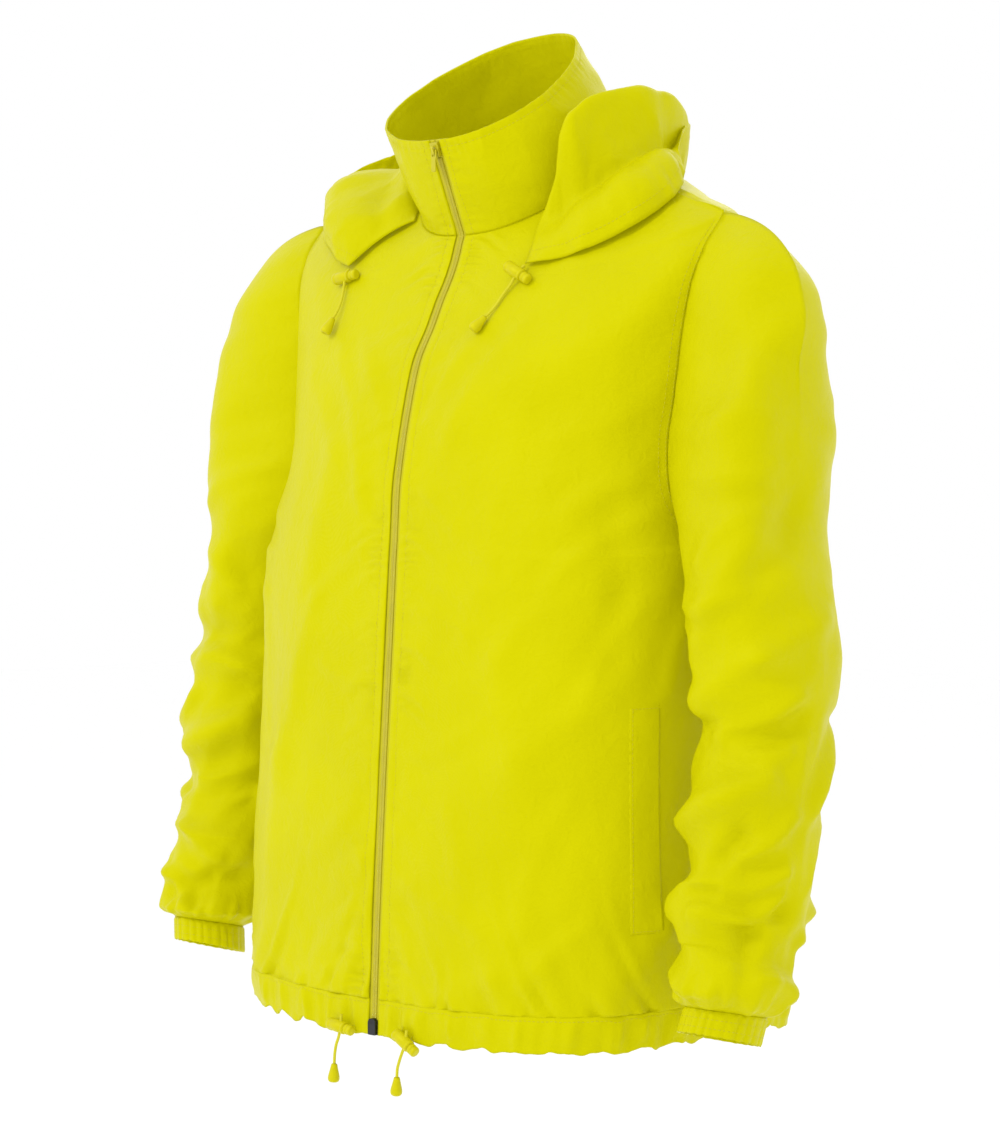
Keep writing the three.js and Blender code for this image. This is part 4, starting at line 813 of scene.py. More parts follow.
# Sleeve creases run between places given by the angle from the outer side, through the front, and the
# height.
SLEEVE_CREASES = {
    1: [
        (16, -112, 52, -154, 14, -3.5, 0), (9, -160, 12, -262, 24, -5, 0), (-14, -170, -14, -270, 40, -6, 0),
        (88, -206, 36, -198, 12, 2.6, 0), (50, -283, 119, -365, 12, 3.6, 0), (2, -261, 43, -304, 12, -3.6, 0),
        (-7, -339, 52, -363, 11, 3.6, 0), (52, -363, 115, -395, 11, 3.6, 0), (43, -446, 128, -480, 11, 4, 0),
        (60, -488, 79, -508, 10, -3.6, 0), (144, -539, 79, -512, 10, 3.4, 0), (10, -540, 45, -556, 10, -4, 0),
        (115, -558, 60, -575, 10, 3.4, 0), (178, -250, 246, -300, 14, 3.6, 0), (200, -384, 284, -352, 12, 4, 0),
        (192, -470, 280, -500, 12, -4, 0), (222, -568, 300, -545, 11, 3.4, 0),
        (52, -154, 72, -196, 8, -2.4, 4), (84, -240, 22, -232, 8, 1.8, -5), (96, -300, 40, -262, 8, 1.8, 6),
        (120, -330, 60, -320, 7, 1.6, -4), (20, -392, 88, -414, 8, 2.4, 5), (100, -420, 30, -428, 7, 2.0, -4),
        (14, -474, 62, -500, 7, 2.2, 4), (70, -524, 20, -512, 6, 1.8, -3), (95, -538, 40, -546, 6, 2.0, 4),
        (130, -586, 70, -592, 6, 1.8, -3), (28, -582, -24, -598, 6, 2.0, 3), (170, -420, 240, -446, 8, 2.2, 5),
        (300, -420, 344, -470, 8, 2.2, -5), (210, -530, 270, -520, 7, 2.0, 4), (330, -560, 290, -580, 7, 2.0, 3),
        (250, -230, 320, -210, 10, 1.8, 6), (150, -300, 200, -340, 9, 2.0, -5),
    ],
    -1: [
        (32, -121, 74, -194, 14, -3, 0), (92, -259, 86, -339, 14, 2.6, 0), (139, -436, 79, -457, 11, 3.6, 0),
        (148, -500, 50, -496, 10, -3.6, 0), (153, -536, 50, -520, 10, 3.4, 0), (160, -564, 77, -573, 10, -3.4, 0),
        (10, -300, 62, -352, 12, 3.4, 0), (352, -402, 40, -388, 12, 3.4, 0), (186, -264, 252, -316, 14, 3.6, 0),
        (206, -392, 290, -366, 12, 4, 0), (196, -476, 276, -512, 12, -4, 0), (226, -560, 300, -540, 11, 3.4, 0),
        (110, -230, 60, -262, 9, 1.8, 5), (70, -300, 110, -330, 9, 1.8, -4), (150, -470, 90, -486, 7, 2.2, -4),
        (80, -520, 130, -548, 6, 2.0, 3), (60, -560, 110, -590, 6, 2.0, -3), (30, -440, 70, -420, 8, 2.0, 4),
        (330, -480, 20, -500, 8, 2.2, -5), (170, -340, 230, -300, 9, 2.0, 4), (240, -440, 300, -420, 8, 2.2, -4),
        (250, -590, 200, -575, 6, 1.8, 3), (300, -240, 350, -280, 10, 1.8, 5), (140, -400, 80, -380, 8, 2.0, 4),
    ],
}
SLEEVE_MM_PER_DEGREE = 0.85
SLEEVE_COLUMNS = 120
CAP_ROWS = 74
LOWER_ROWS = 102
CAP_STEPS = 10
SLEEVE_STEPS = 17
CAP_LEAVE = 1.15
CAP_TOP_LEAVE = 0.2
GATHER_REACH = 26


def armhole(side, columns):
    """The armhole's points for sleeve columns from 0, at the shoulder, through the front to 1."""
    half = 0.5
    span = SHOULDER_TIP - ARMPIT
    points = np.zeros((len(columns), 3))
    for k, column in enumerate(columns):
        front = column <= half
        t = SHOULDER_TIP - span * column / half if front else ARMPIT + span * (column - half) / half
        table = FRONT_TABLE if front else BACK_TABLE
        points[k] = body_points(table, front, side, [t], [1.0])[0][0, 0]
    points[:, 0] *= side
    return points


def sleeve_rings(table, t, angle):
    z, x, y, across, along, lean = between(table, t).T[:, :, None]
    sin, cos = np.sin(angle)[None], np.cos(angle)[None]
    return np.stack([x + across * cos, y - along * sin, z + lean * sin], axis=2)


def sleeve_cloth(side, seed):
    table = SLEEVE_TABLES[side]
    columns = np.arange(SLEEVE_COLUMNS) / SLEEVE_COLUMNS
    angle = 2 * math.pi * columns
    cos = np.cos(angle)[:, None]
    start = armhole(side, columns)
    end = sleeve_rings(table, [0], angle)[0]
    chord = np.linalg.norm(end - start, axis=1, keepdims=True)
    sin = np.sin(angle)[:, None]
    leave = np.hstack([0.66 + 0.3 * cos, -0.4 * sin - 0.12, -0.5 + 0.4 * cos])
    leave *= (CAP_LEAVE + CAP_TOP_LEAVE * cos) * chord / np.linalg.norm(leave, axis=1, keepdims=True)
    arrive = np.hstack([0.05 + 0.06 * cos, 0 * cos, -1 + 0 * cos])
    arrive *= chord / np.linalg.norm(arrive, axis=1, keepdims=True)
    u = np.linspace(0, 1, CAP_ROWS)[:, None, None]
    cap = (
        (2 * u**3 - 3 * u**2 + 1) * start
        + (u**3 - 2 * u**2 + u) * leave
        + (3 * u**2 - 2 * u**3) * end
        + (u**3 - u**2) * arrive
    )
    lower = sleeve_rings(table, np.linspace(0, len(table) - 1, LOWER_ROWS)[1:], angle)
    grid = np.concatenate([cap, lower])
    row = np.concatenate([u[:, 0, 0] * CAP_STEPS, CAP_STEPS + np.linspace(0, SLEEVE_STEPS, LOWER_ROWS)[1:]])
    total = CAP_STEPS + SLEEVE_STEPS
    middle = np.broadcast_to(grid.mean(axis=1, keepdims=True), grid.shape)
    normals = grid_normals(grid, True, middle)
    degrees = np.broadcast_to(np.degrees(angle)[None], grid.shape[:2])
    z = grid[..., 2]
    lift = sum(creases(SLEEVE_CREASES[side], degrees + turn, z, SLEEVE_MM_PER_DEGREE) for turn in (-360, 0, 360))
    lift = lift * (1.5 + 0.9 * smooth((-330 - z) / 90))
    lift = lift * (smooth(row / 3) * smooth((total - row) / 2))[:, None]
    around = degrees * SLEEVE_MM_PER_DEGREE
    steps = np.linalg.norm(np.diff(grid, axis=0), axis=2)
    from_armhole = np.vstack([np.zeros((1, SLEEVE_COLUMNS)), np.cumsum(steps, axis=0)])
    to_cuff = from_armhole[-1] - from_armhole
    free = smooth(from_armhole / 5) * smooth(to_cuff / 5)
    wave = lambda waves, turn: np.sin(waves * angle + turn)[None]
    ease = 0.8 * np.exp(-((from_armhole / 16) ** 2)) * (wave(38, 1.0) + 0.5 * wave(23, 2.0)) * 0.6
    gathers = np.exp(-((to_cuff / GATHER_REACH) ** 2)) * (wave(17, 0.8 + seed) + 0.6 * wave(26, 2.4) + 0.4 * wave(9, seed))
    soft = 0.8 * ripples(around, z, 80, seed + 31) + 0.5 * ripples(around, z, 34, seed + 32)
    soft = soft + (1.3 + 2.0 * smooth((-300 - z) / 120)) * ridges(around + 0.5 * z, z, 120, seed + 33)
    soft = soft + 0.9 * smooth((-260 - z) / 120) * ridges(around - 0.6 * z, z, 55, seed + 34)
    soft = soft * smooth(np.minimum(degrees, 360 - degrees) / 18)
    gathers = gathers * smooth((to_cuff - 3) / 9)
    grid = grid + normals * (lift + free * (ease + 1.3 * gathers + soft))[..., None]
    first = grid[1] - grid[0]
    grid[0] -= first / np.linalg.norm(first, axis=1, keepdims=True) * 0.35
    grid[..., 0] *= side
    return grid


sleeves = {}
for side, side_name, seed in ((1, "left", 4), (-1, "right", 9)):
    grid = sleeve_cloth(side, seed)
    sleeves[side] = grid
    middle = np.broadcast_to(grid.mean(axis=1, keepdims=True), grid.shape)
    sleeve = cloth_piece(f"sleeve_cloth_{side_name}", grid, True, middle, [f"sleeve_{side_name}"])
    front_edge, back_edge = fronts[side], back_grid if side > 0 else back_grid[:, ::-1]
    front_out = grid_normals(front_edge, False, body_middle(front_edge))
    back_out = grid_normals(back_edge, False, body_middle(back_edge))
    arm_rows = (FRONT_T >= ARMPIT) & (FRONT_T <= SHOULDER_TIP)
    seams = []
    for inset in (1.6, 7.5):
        for cloth, out in ((front_edge, front_out), (back_edge, back_out)):
            edge, inner = cloth[arm_rows, -1], cloth[arm_rows, -6]
            toward = (inner - edge) / np.linalg.norm(inner - edge, axis=1, keepdims=True)
            reach = np.linalg.norm(inner - edge, axis=1, keepdims=True)
            seams.append(stitch_line(edge + toward * np.minimum(inset, reach) , out[arm_rows, -3]))
    sewn(f"armhole_stitches_{side_name}", seams)


# Cuffs: a short band at each wrist, drawn in over flat elastic so that it stands in fine upright
# pleats. Two lines of stitches hold the elastic.
CUFF_HEIGHT = 19
CUFF_PLEATS = 25
CUFF_COLUMNS = 25 * 12
CUFF_ROWS = 21

for side, side_name, seed in ((1, "left", 2), (-1, "right", 5)):
    ring = sleeves[side][-1]
    closed_ring = np.vstack([ring, ring[:1]])
    spots = np.linspace(0, SLEEVE_COLUMNS, CUFF_COLUMNS, endpoint=False)
    top = np.stack([np.interp(spots, np.arange(SLEEVE_COLUMNS + 1), closed_ring[:, k]) for k in range(3)], axis=1)
    middle = top.mean(axis=0)
    out = top - middle
    out[:, 2] = 0
    out /= np.linalg.norm(out, axis=1, keepdims=True)
    forward = (middle[1] - top[:, 1:2]) / 33
    lower = top + np.hstack([0 * forward - side * 4, 0 * forward - 3, -CUFF_HEIGHT + 2 * forward])
    turn = 2 * math.pi * spots / SLEEVE_COLUMNS
    drift = 0.7 * np.sin(3 * turn + seed) + 0.6 * np.sin(7 * turn + 2 * seed)
    pleat = 2 * np.abs(np.sin(0.5 * CUFF_PLEATS * turn + 0.5 * drift)) - 1.3
    size = 0.8 + 0.4 * np.sin(5 * turn + seed) * np.sin(11 * turn)
    u = np.linspace(0, 1, CUFF_ROWS)[:, None]
    rise = smooth(u / 0.12) * (1 - 0.35 * smooth((u - 0.9) / 0.1))
    held = sum(np.exp(-(((u - at) / 0.035) ** 2)) for at in (0.36, 0.72))
    swell = 0.7 * rise - 0.12 * held + size * pleat * (0.62 * rise - 0.08 * held)
    grid = top[None] * (1 - u[..., None]) + lower[None] * u[..., None] + out[None] * swell[..., None]
    grid[..., 2] += 0.3 * size * np.sin(CUFF_PLEATS * turn + drift + 1.2)[None] * smooth((u - 0.7) / 0.3)
    ring_middle = np.broadcast_to(grid.mean(axis=1, keepdims=True), grid.shape)
    cuff = cloth_piece(f"cuff_band_{side_name}", grid, True, ring_middle, [f"cuff_{side_name}"], thickness=1.4)
    normals = grid_normals(grid, True, ring_middle)
    rows = [round(at * (CUFF_ROWS - 1)) for at in (0.36, 0.72)]
    sewn(f"cuff_stitches_{side_name}", [stitch_line(grid[row], normals[row]) for row in rows])


# Hem casing: the lower edge is turned up into a casing for the hem cord, in one length on each front
# and one across the back. The drawn cord gathers it into waves, with a stitched line at its top.
HEM_WAVE = 2.4
HEM_WAVE_LENGTH = 31
HEM_SCALLOP = 1.7
HEM_ROWS = 17


def hem_cloth(top, low, out, seed):
    """A length of casing from the panel's lower edge to the jacket's lower edge, with its gathers."""
    reach = np.concatenate([[0], np.cumsum(np.linalg.norm(np.diff(low, axis=0), axis=1))])
    total = reach[-1]
    ends = smooth(reach / 25) * smooth((total - reach) / 25)
    near_ends = smooth(reach / 6) * smooth((total - reach) / 6)
    phase = 2 * math.pi * reach / HEM_WAVE_LENGTH + 0.9 * np.sin(reach / 17)
    fine = 2 * math.pi * reach / 14 + 1.6 * np.sin(reach / 23 + seed)
    size = 0.8 + 0.35 * np.sin(reach / 37 + seed)
    u = np.linspace(0, 1, HEM_ROWS)[:, None]
    swell = ends * np.sin(math.pi * np.minimum(u, 0.85)) * (1.5 + HEM_WAVE * size * np.sin(phase))
    swell = swell + near_ends * smooth(u / 0.2) * (0.6 + 0.35 * np.sin(reach / 30 + seed)) * np.sin(fine + 1.2 * u)
    swell = swell - 0.1 * near_ends * np.exp(-(((u - 0.1) / 0.06) ** 2))
    grid = top[None] * (1 - u[..., None]) + low[None] * u[..., None] + out[None] * swell[..., None]
    grid[..., 2] += ends * u * HEM_SCALLOP * size * np.sin(phase + 1.1) + 0.35 * near_ends * u * np.sin(fine + 0.7)
    return grid


def finer(line, step=1.6):
    reach = np.concatenate([[0], np.cumsum(np.linalg.norm(np.diff(line, axis=0), axis=1))])
    even = np.linspace(0, 1, int(reach[-1] / step))
    return even, reach / reach[-1]


hems = {}
for place, seed in (("front_left", 1), ("front_right", 6), ("back", 8)):
    if place == "back":
        panel = back_grid
        halves = [body_points(BACK_TABLE, False, s, [0], BACK_SHARES)[0][0] for s in (-1, 1)]
        low = np.concatenate([halves[0][:0:-1], halves[1]])
    else:
        side = 1 if place == "front_left" else -1
        panel = fronts[side]
        low = body_points(FRONT_TABLE, True, side, [0], FRONT_SHARES)[0][0]
    out = grid_normals(panel, False, body_middle(panel))[0]
    even, share = finer(panel[0])
    resample = lambda line: np.stack([np.interp(even, share, line[:, k]) for k in range(3)], axis=1)
    grid = hem_cloth(resample(panel[0]) + (0, 0, 0.5), resample(low), resample(out), seed)
    hems[place] = grid
    hem = cloth_piece(f"hem_casing_{place}", grid, False, body_middle(grid), [f"hem_{place}"], thickness=1.3)
    normals = grid_normals(grid, False, body_middle(grid))
    row = round(0.1 * (HEM_ROWS - 1))
    sewn(f"hem_stitches_{place}", [stitch_line(grid[row], normals[row])])


# Collar: a stand collar of two layers of nylon, zipped right up. It leans forward, its upper edge is
# topstitched, and the stitching puckers it there and beside the zip.
COLLAR_TOP = {
    "front_y": -104, "front_z": 10, "left_x": 68, "right_x": 90, "side_y": -50, "side_z": 48, "back_y": 24, "back_z": 101,
}
COLLAR_BOW = 3
COLLAR_ROWS = 48
COLLAR_EDGE_STITCH = 6


def collar_low(table, front, side, shares):
    return body_points(table, front, side, [NECK], shares)[0][0]


def collar_high(side, front, shares):
    c = COLLAR_TOP
    angle = shares * math.pi / 2
    mid_x = ZIP_HALF if front else 0
    end_y, end_z = (c["front_y"], c["front_z"]) if front else (c["back_y"], c["back_z"])
    reach_x = c["left_x"] if side > 0 else c["right_x"]
    return np.stack(
        [
            side * (mid_x + (reach_x - mid_x) * np.sin(angle)),
            c["side_y"] + (end_y - c["side_y"]) * np.cos(angle),
            c["side_z"] + (end_z - c["side_z"]) * np.cos(angle),
        ],
        axis=1,
    )


neck_shares = np.linspace(0, 1, 64)
back_neck = np.linspace(0, 1, 70)
low = np.concatenate(
    [
        collar_low(FRONT_TABLE, True, -1, neck_shares),
        collar_low(BACK_TABLE, False, -1, back_neck)[-2::-1],
        collar_low(BACK_TABLE, False, 1, back_neck)[1:],
        collar_low(FRONT_TABLE, True, 1, neck_shares)[-2::-1],
    ]
)
high = np.concatenate(
    [
        collar_high(-1, True, neck_shares),
        collar_high(-1, False, back_neck)[-2::-1],
        collar_high(1, False, back_neck)[1:],
        collar_high(1, True, neck_shares)[-2::-1],
    ]
)
u = np.linspace(0, 1, COLLAR_ROWS)[:, None, None]
collar_grid = low[None] * (1 - u) + high[None] * u
bow_out = collar_grid + np.array([0, 20, 0])
bow_out[..., 2] = 0
bow_out /= np.linalg.norm(bow_out, axis=2, keepdims=True)
collar_grid += bow_out * (COLLAR_BOW * np.sin(math.pi * u) * smooth(np.abs(collar_grid[..., :1]) / 40))
collar_middle = np.broadcast_to(np.array([0.0, -20.0, 20.0]), collar_grid.shape)
collar_out = grid_normals(collar_grid, False, collar_middle)
height = np.vstack(
    [np.zeros((1, len(low))), np.cumsum(np.linalg.norm(np.diff(collar_grid, axis=0), axis=2), axis=0)]
)
below_top = height[-1] - height
around = np.concatenate([[0], np.cumsum(np.linalg.norm(np.diff(high, axis=0), axis=1))])[None]
from_zip = np.minimum(around, around[0, -1] - around)
lift = 0.55 * smooth(below_top / 2) * puckers(below_top - COLLAR_EDGE_STITCH, around, 7, 7.5, 41)
lift += 0.5 * smooth(height / 3) * puckers(height, around, 9, 9, 42)
lift += 0.5 * smooth(from_zip / 3) * puckers(from_zip - ZIP_STITCH, height, 7, 8, 43)
lift += smooth(height / 6) * (0.6 * ripples(around, height, 60, 44) + 0.2 * ripples(around, height, 24, 45))
lift += 1.3 * smooth(height / 6) * ridges(around + 0.5 * height, height, 85, 46)
lift -= 0.35 * np.exp(-(((below_top - COLLAR_EDGE_STITCH) / 1.0) ** 2))
collar_grid = collar_grid + collar_out * (smooth(from_zip / 3) * lift)[..., None]
collar = cloth_piece("stand_collar", collar_grid, False, collar_middle, ["collar"], thickness=1.5)


def line_at(grid, normals, measure, value):
    """A line across a grid where a measure, which grows along its rows, reaches a value."""
    count = grid.shape[1]
    line, out = np.zeros((count, 3)), np.zeros((count, 3))
    for k in range(count):
        order = np.argsort(measure[:, k])
        for axis in range(3):
            line[k, axis] = np.interp(value, measure[order, k], grid[order, k, axis])
            out[k, axis] = np.interp(value, measure[order, k], normals[order, k, axis])
    return line, out


collar_seams = [stitch_line(*line_at(collar_grid, collar_out, below_top, COLLAR_EDGE_STITCH))]
for flip in (False, True):
    grid = collar_grid[:, ::-1] if flip else collar_grid
    out = collar_out[:, ::-1] if flip else collar_out
    measure = np.broadcast_to(around, grid.shape[:2])
    line, normals = line_at(
        grid[:, :20].transpose(1, 0, 2), out[:, :20].transpose(1, 0, 2), measure[:, :20].T, ZIP_STITCH
    )
    collar_seams.append(stitch_line(line, normals))
sewn("collar_stitches", collar_seams)


# Hood: one layer of the same nylon, sewn to the neckline and laid back. It stands against the collar,
# folds over onto the shoulders and back, and ends in a casing for its cord along the rim.
HOOD_COLUMNS = 171
HOOD_ROWS = 75
HOOD_THICKNESS = 1.0
HOOD_ROUNDING = 12
HOOD_CASING = 10.0
# around, swing, then distance down from the neckline and height off the jacket of seven places on
# the hood's way out, back over its fold and on to its rim.
HOOD_TABLES = {
    1: [
        (0.52, -0.2, 6, 1.9, 13, 4, 19, 5, 26, 5, 33, 5, 41, 4, 49, 4.5),
        (0.62, -0.1, 6, 1.9, 3, 26, 9, 34, 26, 4, 40, 14, 58, 14, 73, 4),
        (0.75, 0, 6, 1.9, 1, 54, 5, 82, 30, 2, 44, 26, 68, 26, 84, 4),
        (0.9, 0, 6, 1.9, 1, 58, 8, 90, 32, 2, 48, 28, 76, 28, 88, 4),
        (1.0, 0, 6, 1.9, 1, 54, 14, 84, 34, 2, 48, 28, 70, 24, 84, 5),
        (1.08, 0, 6, 1.9, 2, 48, 18, 76, 34, 6, 42, 22, 54, 18, 64, 12),
        (1.2, 0, 6, 2, 4, 44, 18, 68, 30, 20, 34, 12, 38, 18, 38, 26),
        (1.4, 0, 6, 2, 6, 38, 20, 56, 32, 24, 32, 10, 28, 26, 22, 40),
        (1.6, 0, 6, 2, 12, 22, 26, 34, 46, 20, 50, 12, 38, 36, 20, 50),
        (2, 0, 6, 2, 40, 4, 110, 6, 180, 10, 150, 44, 76, 50, 12, 52),
    ],
    -1: [
        (0.5, -0.02, 6, 1.9, 14, 4, 24, 5, 34, 5, 45, 5, 58, 5, 69, 4.5),
        (0.65, -0.06, 6, 1.9, 6, 12, 14, 18, 30, 14, 46, 26, 70, 28, 82, 6),
        (0.8, 0, 6, 1.9, 5, 20, 12, 28, 34, 14, 56, 30, 88, 34, 98, 10),
        (0.95, 0, 6, 1.9, 5, 28, 12, 34, 36, 14, 64, 34, 98, 38, 106, 18),
        (1.05, 0, 6, 1.9, 5, 30, 14, 36, 38, 12, 72, 26, 106, 28, 98, 40),
        (1.15, 0, 6, 1.9, 6, 28, 18, 32, 44, 8, 80, 10, 90, 32, 66, 42),
        (1.3, 0, 6, 2, 10, 18, 24, 20, 54, 6, 84, 10, 78, 44, 34, 50),
        (1.6, 0, 6, 2, 30, 4, 70, 6, 120, 8, 112, 36, 60, 50, 14, 52),
        (2, 0, 6, 2, 40, 4, 110, 6, 190, 10, 160, 48, 80, 56, 8, 58),
    ],
}


def hood_foot(side, around, distance, height):
    """Places at distances down the jacket from the neckline, and at heights off it."""
    front = around < 1
    share = around if front else 2 - around
    table = FRONT_TABLE if front else BACK_TABLE
    folds = ()
    t = np.arange(NECK, -0.01, -0.25)
    line = body_points(table, front, side, t, [share], folds)[0][:, 0]
    reach = np.concatenate([[0], np.cumsum(np.linalg.norm(np.diff(line, axis=0), axis=1))])
    row = np.interp(distance, reach, t)
    rows = [max(row - 0.3, 0), min(row, NECK), min(row + 0.3, NECK)]
    middle = min(max(share, 0.02), 0.98)
    patch = body_points(table, front, side, rows, [middle - 0.02, middle, middle + 0.02], folds)[0]
    point = np.array([np.interp(distance, reach, line[:, k]) for k in range(3)])
    normal = np.cross(patch[2, 1] - patch[0, 1], patch[1, 2] - patch[1, 0])
    normal /= np.linalg.norm(normal)
    if np.dot(normal, (point[0], point[1], 60)) < 0:
        normal = -normal
    return point + normal * height


def spline(control, u):
    """Points on a clamped cubic spline that is drawn towards its control points."""
    degree = 3
    spans = len(control) - degree
    knots = np.clip(np.arange(len(control) + degree + 1) - degree, 0, spans) / spans
    points = []
    for value in u:
        span = degree + min(int(value * spans), spans - 1)
        d = [control[j + span - degree] for j in range(degree + 1)]
        for r in range(1, degree + 1):
            for j in range(degree, r - 1, -1):
                low, high = knots[j + span - degree], knots[j + 1 + span - r]
                share = (value - low) / (high - low)
                d[j] = d[j - 1] * (1 - share) + d[j] * share
        points.append(d[degree])
    return np.array(points)


def hood_cloth(columns, rows):
    """The hood's grid of points from the neckline to the rim, from the right front to the left."""
    grid = np.zeros((len(rows), len(columns), 3))
    for k, column in enumerate(columns):
        side = -1 if column < 0 else 1
        table = HOOD_TABLES[side]
        values = between(table, (len(table) - 1) * (1 - abs(column)))[0]
        around, swing = values[:2]
        distance, height = values[2::2], values[3::2]
        longest = distance[2:].max()
        control = [
            hood_foot(side, around + swing * d / longest, d, h) for d, h in zip(distance, height)
        ]
        grid[:, k] = spline(control, rows)
    return grid


hood_columns = np.linspace(-1, 1, HOOD_COLUMNS)
hood_grid = hood_cloth(hood_columns, np.linspace(0, 1, HOOD_ROWS))
reach = np.arange(-HOOD_ROUNDING, HOOD_ROUNDING + 1)
weights = np.cos(0.5 * math.pi * reach / (HOOD_ROUNDING + 1)) ** 2
first, last = hood_grid[:, :1], hood_grid[:, -1:]
padded = np.concatenate(
    [2 * first - hood_grid[:, HOOD_ROUNDING:0:-1], hood_grid, 2 * last - hood_grid[:, -2 : -HOOD_ROUNDING - 2 : -1]], axis=1
)
rounded = sum(weight * padded[:, k : k + HOOD_COLUMNS] for k, weight in enumerate(weights)) / weights.sum()
hood_grid = hood_grid + (rounded - hood_grid) * smooth(np.linspace(0, 1, HOOD_ROWS) / 0.25)[:, None, None]
hood_middle = np.broadcast_to(np.array([0.0, 0.0, -300.0]), hood_grid.shape)
hood_out = grid_normals(hood_grid, False, hood_middle)
steps = np.linalg.norm(np.diff(hood_grid, axis=0), axis=2)
from_foot = np.vstack([np.zeros((1, HOOD_COLUMNS)), np.cumsum(steps, axis=0)])
to_rim = from_foot[-1] - from_foot
rim_reach = np.concatenate([[0], np.cumsum(np.linalg.norm(np.diff(hood_grid[-1], axis=0), axis=1))])[None]
to_corner = np.minimum(rim_reach, rim_reach[0, -1] - rim_reach)
lift = 0.55 * puckers(to_rim - HOOD_CASING, rim_reach, 8, 8.5, 51)
lift += 0.9 * puckers(to_rim - HOOD_CASING, rim_reach, 22, 21, 52)
lift -= 0.4 * np.exp(-(((to_rim - HOOD_CASING) / 1.2) ** 2))
lift += 0.9 * ripples(rim_reach, from_foot, 70, 53) + 0.3 * ripples(rim_reach, from_foot, 28, 54)
lift += 2.0 * ridges(rim_reach + 0.5 * from_foot, from_foot, 95, 55)
lift *= smooth((from_foot - 2) / 18) * smooth(to_corner / 12)
hood_grid = hood_grid + hood_out * lift[..., None]
hood = cloth_piece("hood_cloth", hood_grid, False, hood_middle, ["hood"], HOOD_THICKNESS, outward=-1)
hood_out = grid_normals(hood_grid, False, hood_middle)
line, out = line_at(hood_grid, hood_out, -to_rim, -HOOD_CASING)
for face, sign in (("over", 1.0), ("under", -1.0)):
    seam = line + out * (HOOD_THICKNESS if sign > 0 else 0)
    sewn(f"hood_stitches_{face}", [stitch_line(seam, out * sign)])


# Zip tapes: a narrow woven ochre tape behind each front's edge, sewn under it. Between the fronts both
# tapes show on either side of the coil.
TAPE_DEPTH = 1.3
TAPE_MIDDLE = 0.4
TAPE_WIDE = 13.5
TAPE_THICKNESS = 0.7
TAPE_DARK = (0.52, 0.47, 0.002)
TAPE_LIGHT = (0.61, 0.56, 0.002)


def tape_material():
    material, tree, shader = new_material("zip_tape_weave", TAPE_LIGHT, 0.72)
    place = tree.nodes.new("ShaderNodeTexCoord")
    ribs = tree.nodes.new("ShaderNodeTexWave")
    ribs.bands_direction = "X"
    ribs.inputs["Scale"].default_value = 520
    ribs.inputs["Distortion"].default_value = 0.5
    tree.links.new(place.outputs["Object"], ribs.inputs["Vector"])
    picks = tree.nodes.new("ShaderNodeTexWave")
    picks.bands_direction = "Z"
    picks.inputs["Scale"].default_value = 700
    tree.links.new(place.outputs["Object"], picks.inputs["Vector"])
    cloth = maths(tree, "MULTIPLY_ADD", ribs.outputs["Fac"], 0.6, maths(tree, "MULTIPLY", picks.outputs["Fac"], 0.4))
    tint(tree, shader, cloth, TAPE_DARK, TAPE_LIGHT)
    bump(tree, shader, cloth, 0.00012, 0.7)
    return material


def zip_line(side):
    """The zip edge of one side, from the jacket's lower edge to the collar's top."""
    hem = hems["front_left" if side > 0 else "front_right"]
    column = -1 if side > 0 else 0
    return np.concatenate([hem[:0:-1, 0], fronts[side][:, 0], collar_grid[1:, column]])


TAPE = tape_material()
edges = {side: zip_line(side) for side in (1, -1)}
tape_rows = np.linspace(0, 1, 420)
centres = {}
for side in (1, -1):
    reach = np.concatenate([[0], np.cumsum(np.linalg.norm(np.diff(edges[side], axis=0), axis=1))])
    centres[side] = np.stack([np.interp(tape_rows * reach[-1], reach, edges[side][:, k]) for k in range(3)], axis=1)
zip_centre = (centres[1] + centres[-1]) / 2
zip_centre[:, 0] = 0
zip_up = np.gradient(zip_centre, axis=0)
zip_up /= np.linalg.norm(zip_up, axis=1, keepdims=True)
zip_out = np.stack([0 * zip_up[:, 0], -zip_up[:, 2], zip_up[:, 1]], axis=1)
across = np.linspace(TAPE_MIDDLE, TAPE_WIDE, 12)
for side, side_name in ((1, "left"), (-1, "right")):
    behind = zip_centre - zip_out * TAPE_DEPTH
    grid = np.repeat(behind[:, None], len(across), axis=1)
    grid[..., 0] = side * across
    grid -= zip_out[:, None] * (0.012 * np.maximum(across - 5, 0) ** 1.6)[None, :, None]
    middle = grid + zip_out[:, None] * -50
    tape = cloth_piece(f"zip_cloth_{side_name}", grid, False, middle, [f"zip_tape_{side_name}"], TAPE_THICKNESS, TAPE)


# Zip coil: two rows of nylon coil, moulded in one length and set into each other. Their close turns
# make a ribbed band with a groove down its middle.
COIL_PITCH = 1.3
COIL_HALF = 2.55
COIL_HEIGHT = 1.15
COIL_FOOT = -637.5
COIL_TOP = -3.0
COIL_DARK = (0.44, 0.385, 0.002)
COIL_LIGHT = (0.57, 0.51, 0.002)


def coil_material():
    material, tree, shader = new_material("zip_coil", COIL_LIGHT, 0.4)
    shader.inputs["Coat Weight"].default_value = 0.15
    patches = place_group(tree, MOTTLING, Scale=60.0)
    tint(tree, shader, patches.outputs["Mask"], COIL_DARK, COIL_LIGHT)
    tree.links.new(spread(tree, patches.outputs["Mask"], 0.34, 0.5), shader.inputs["Roughness"])
    return material


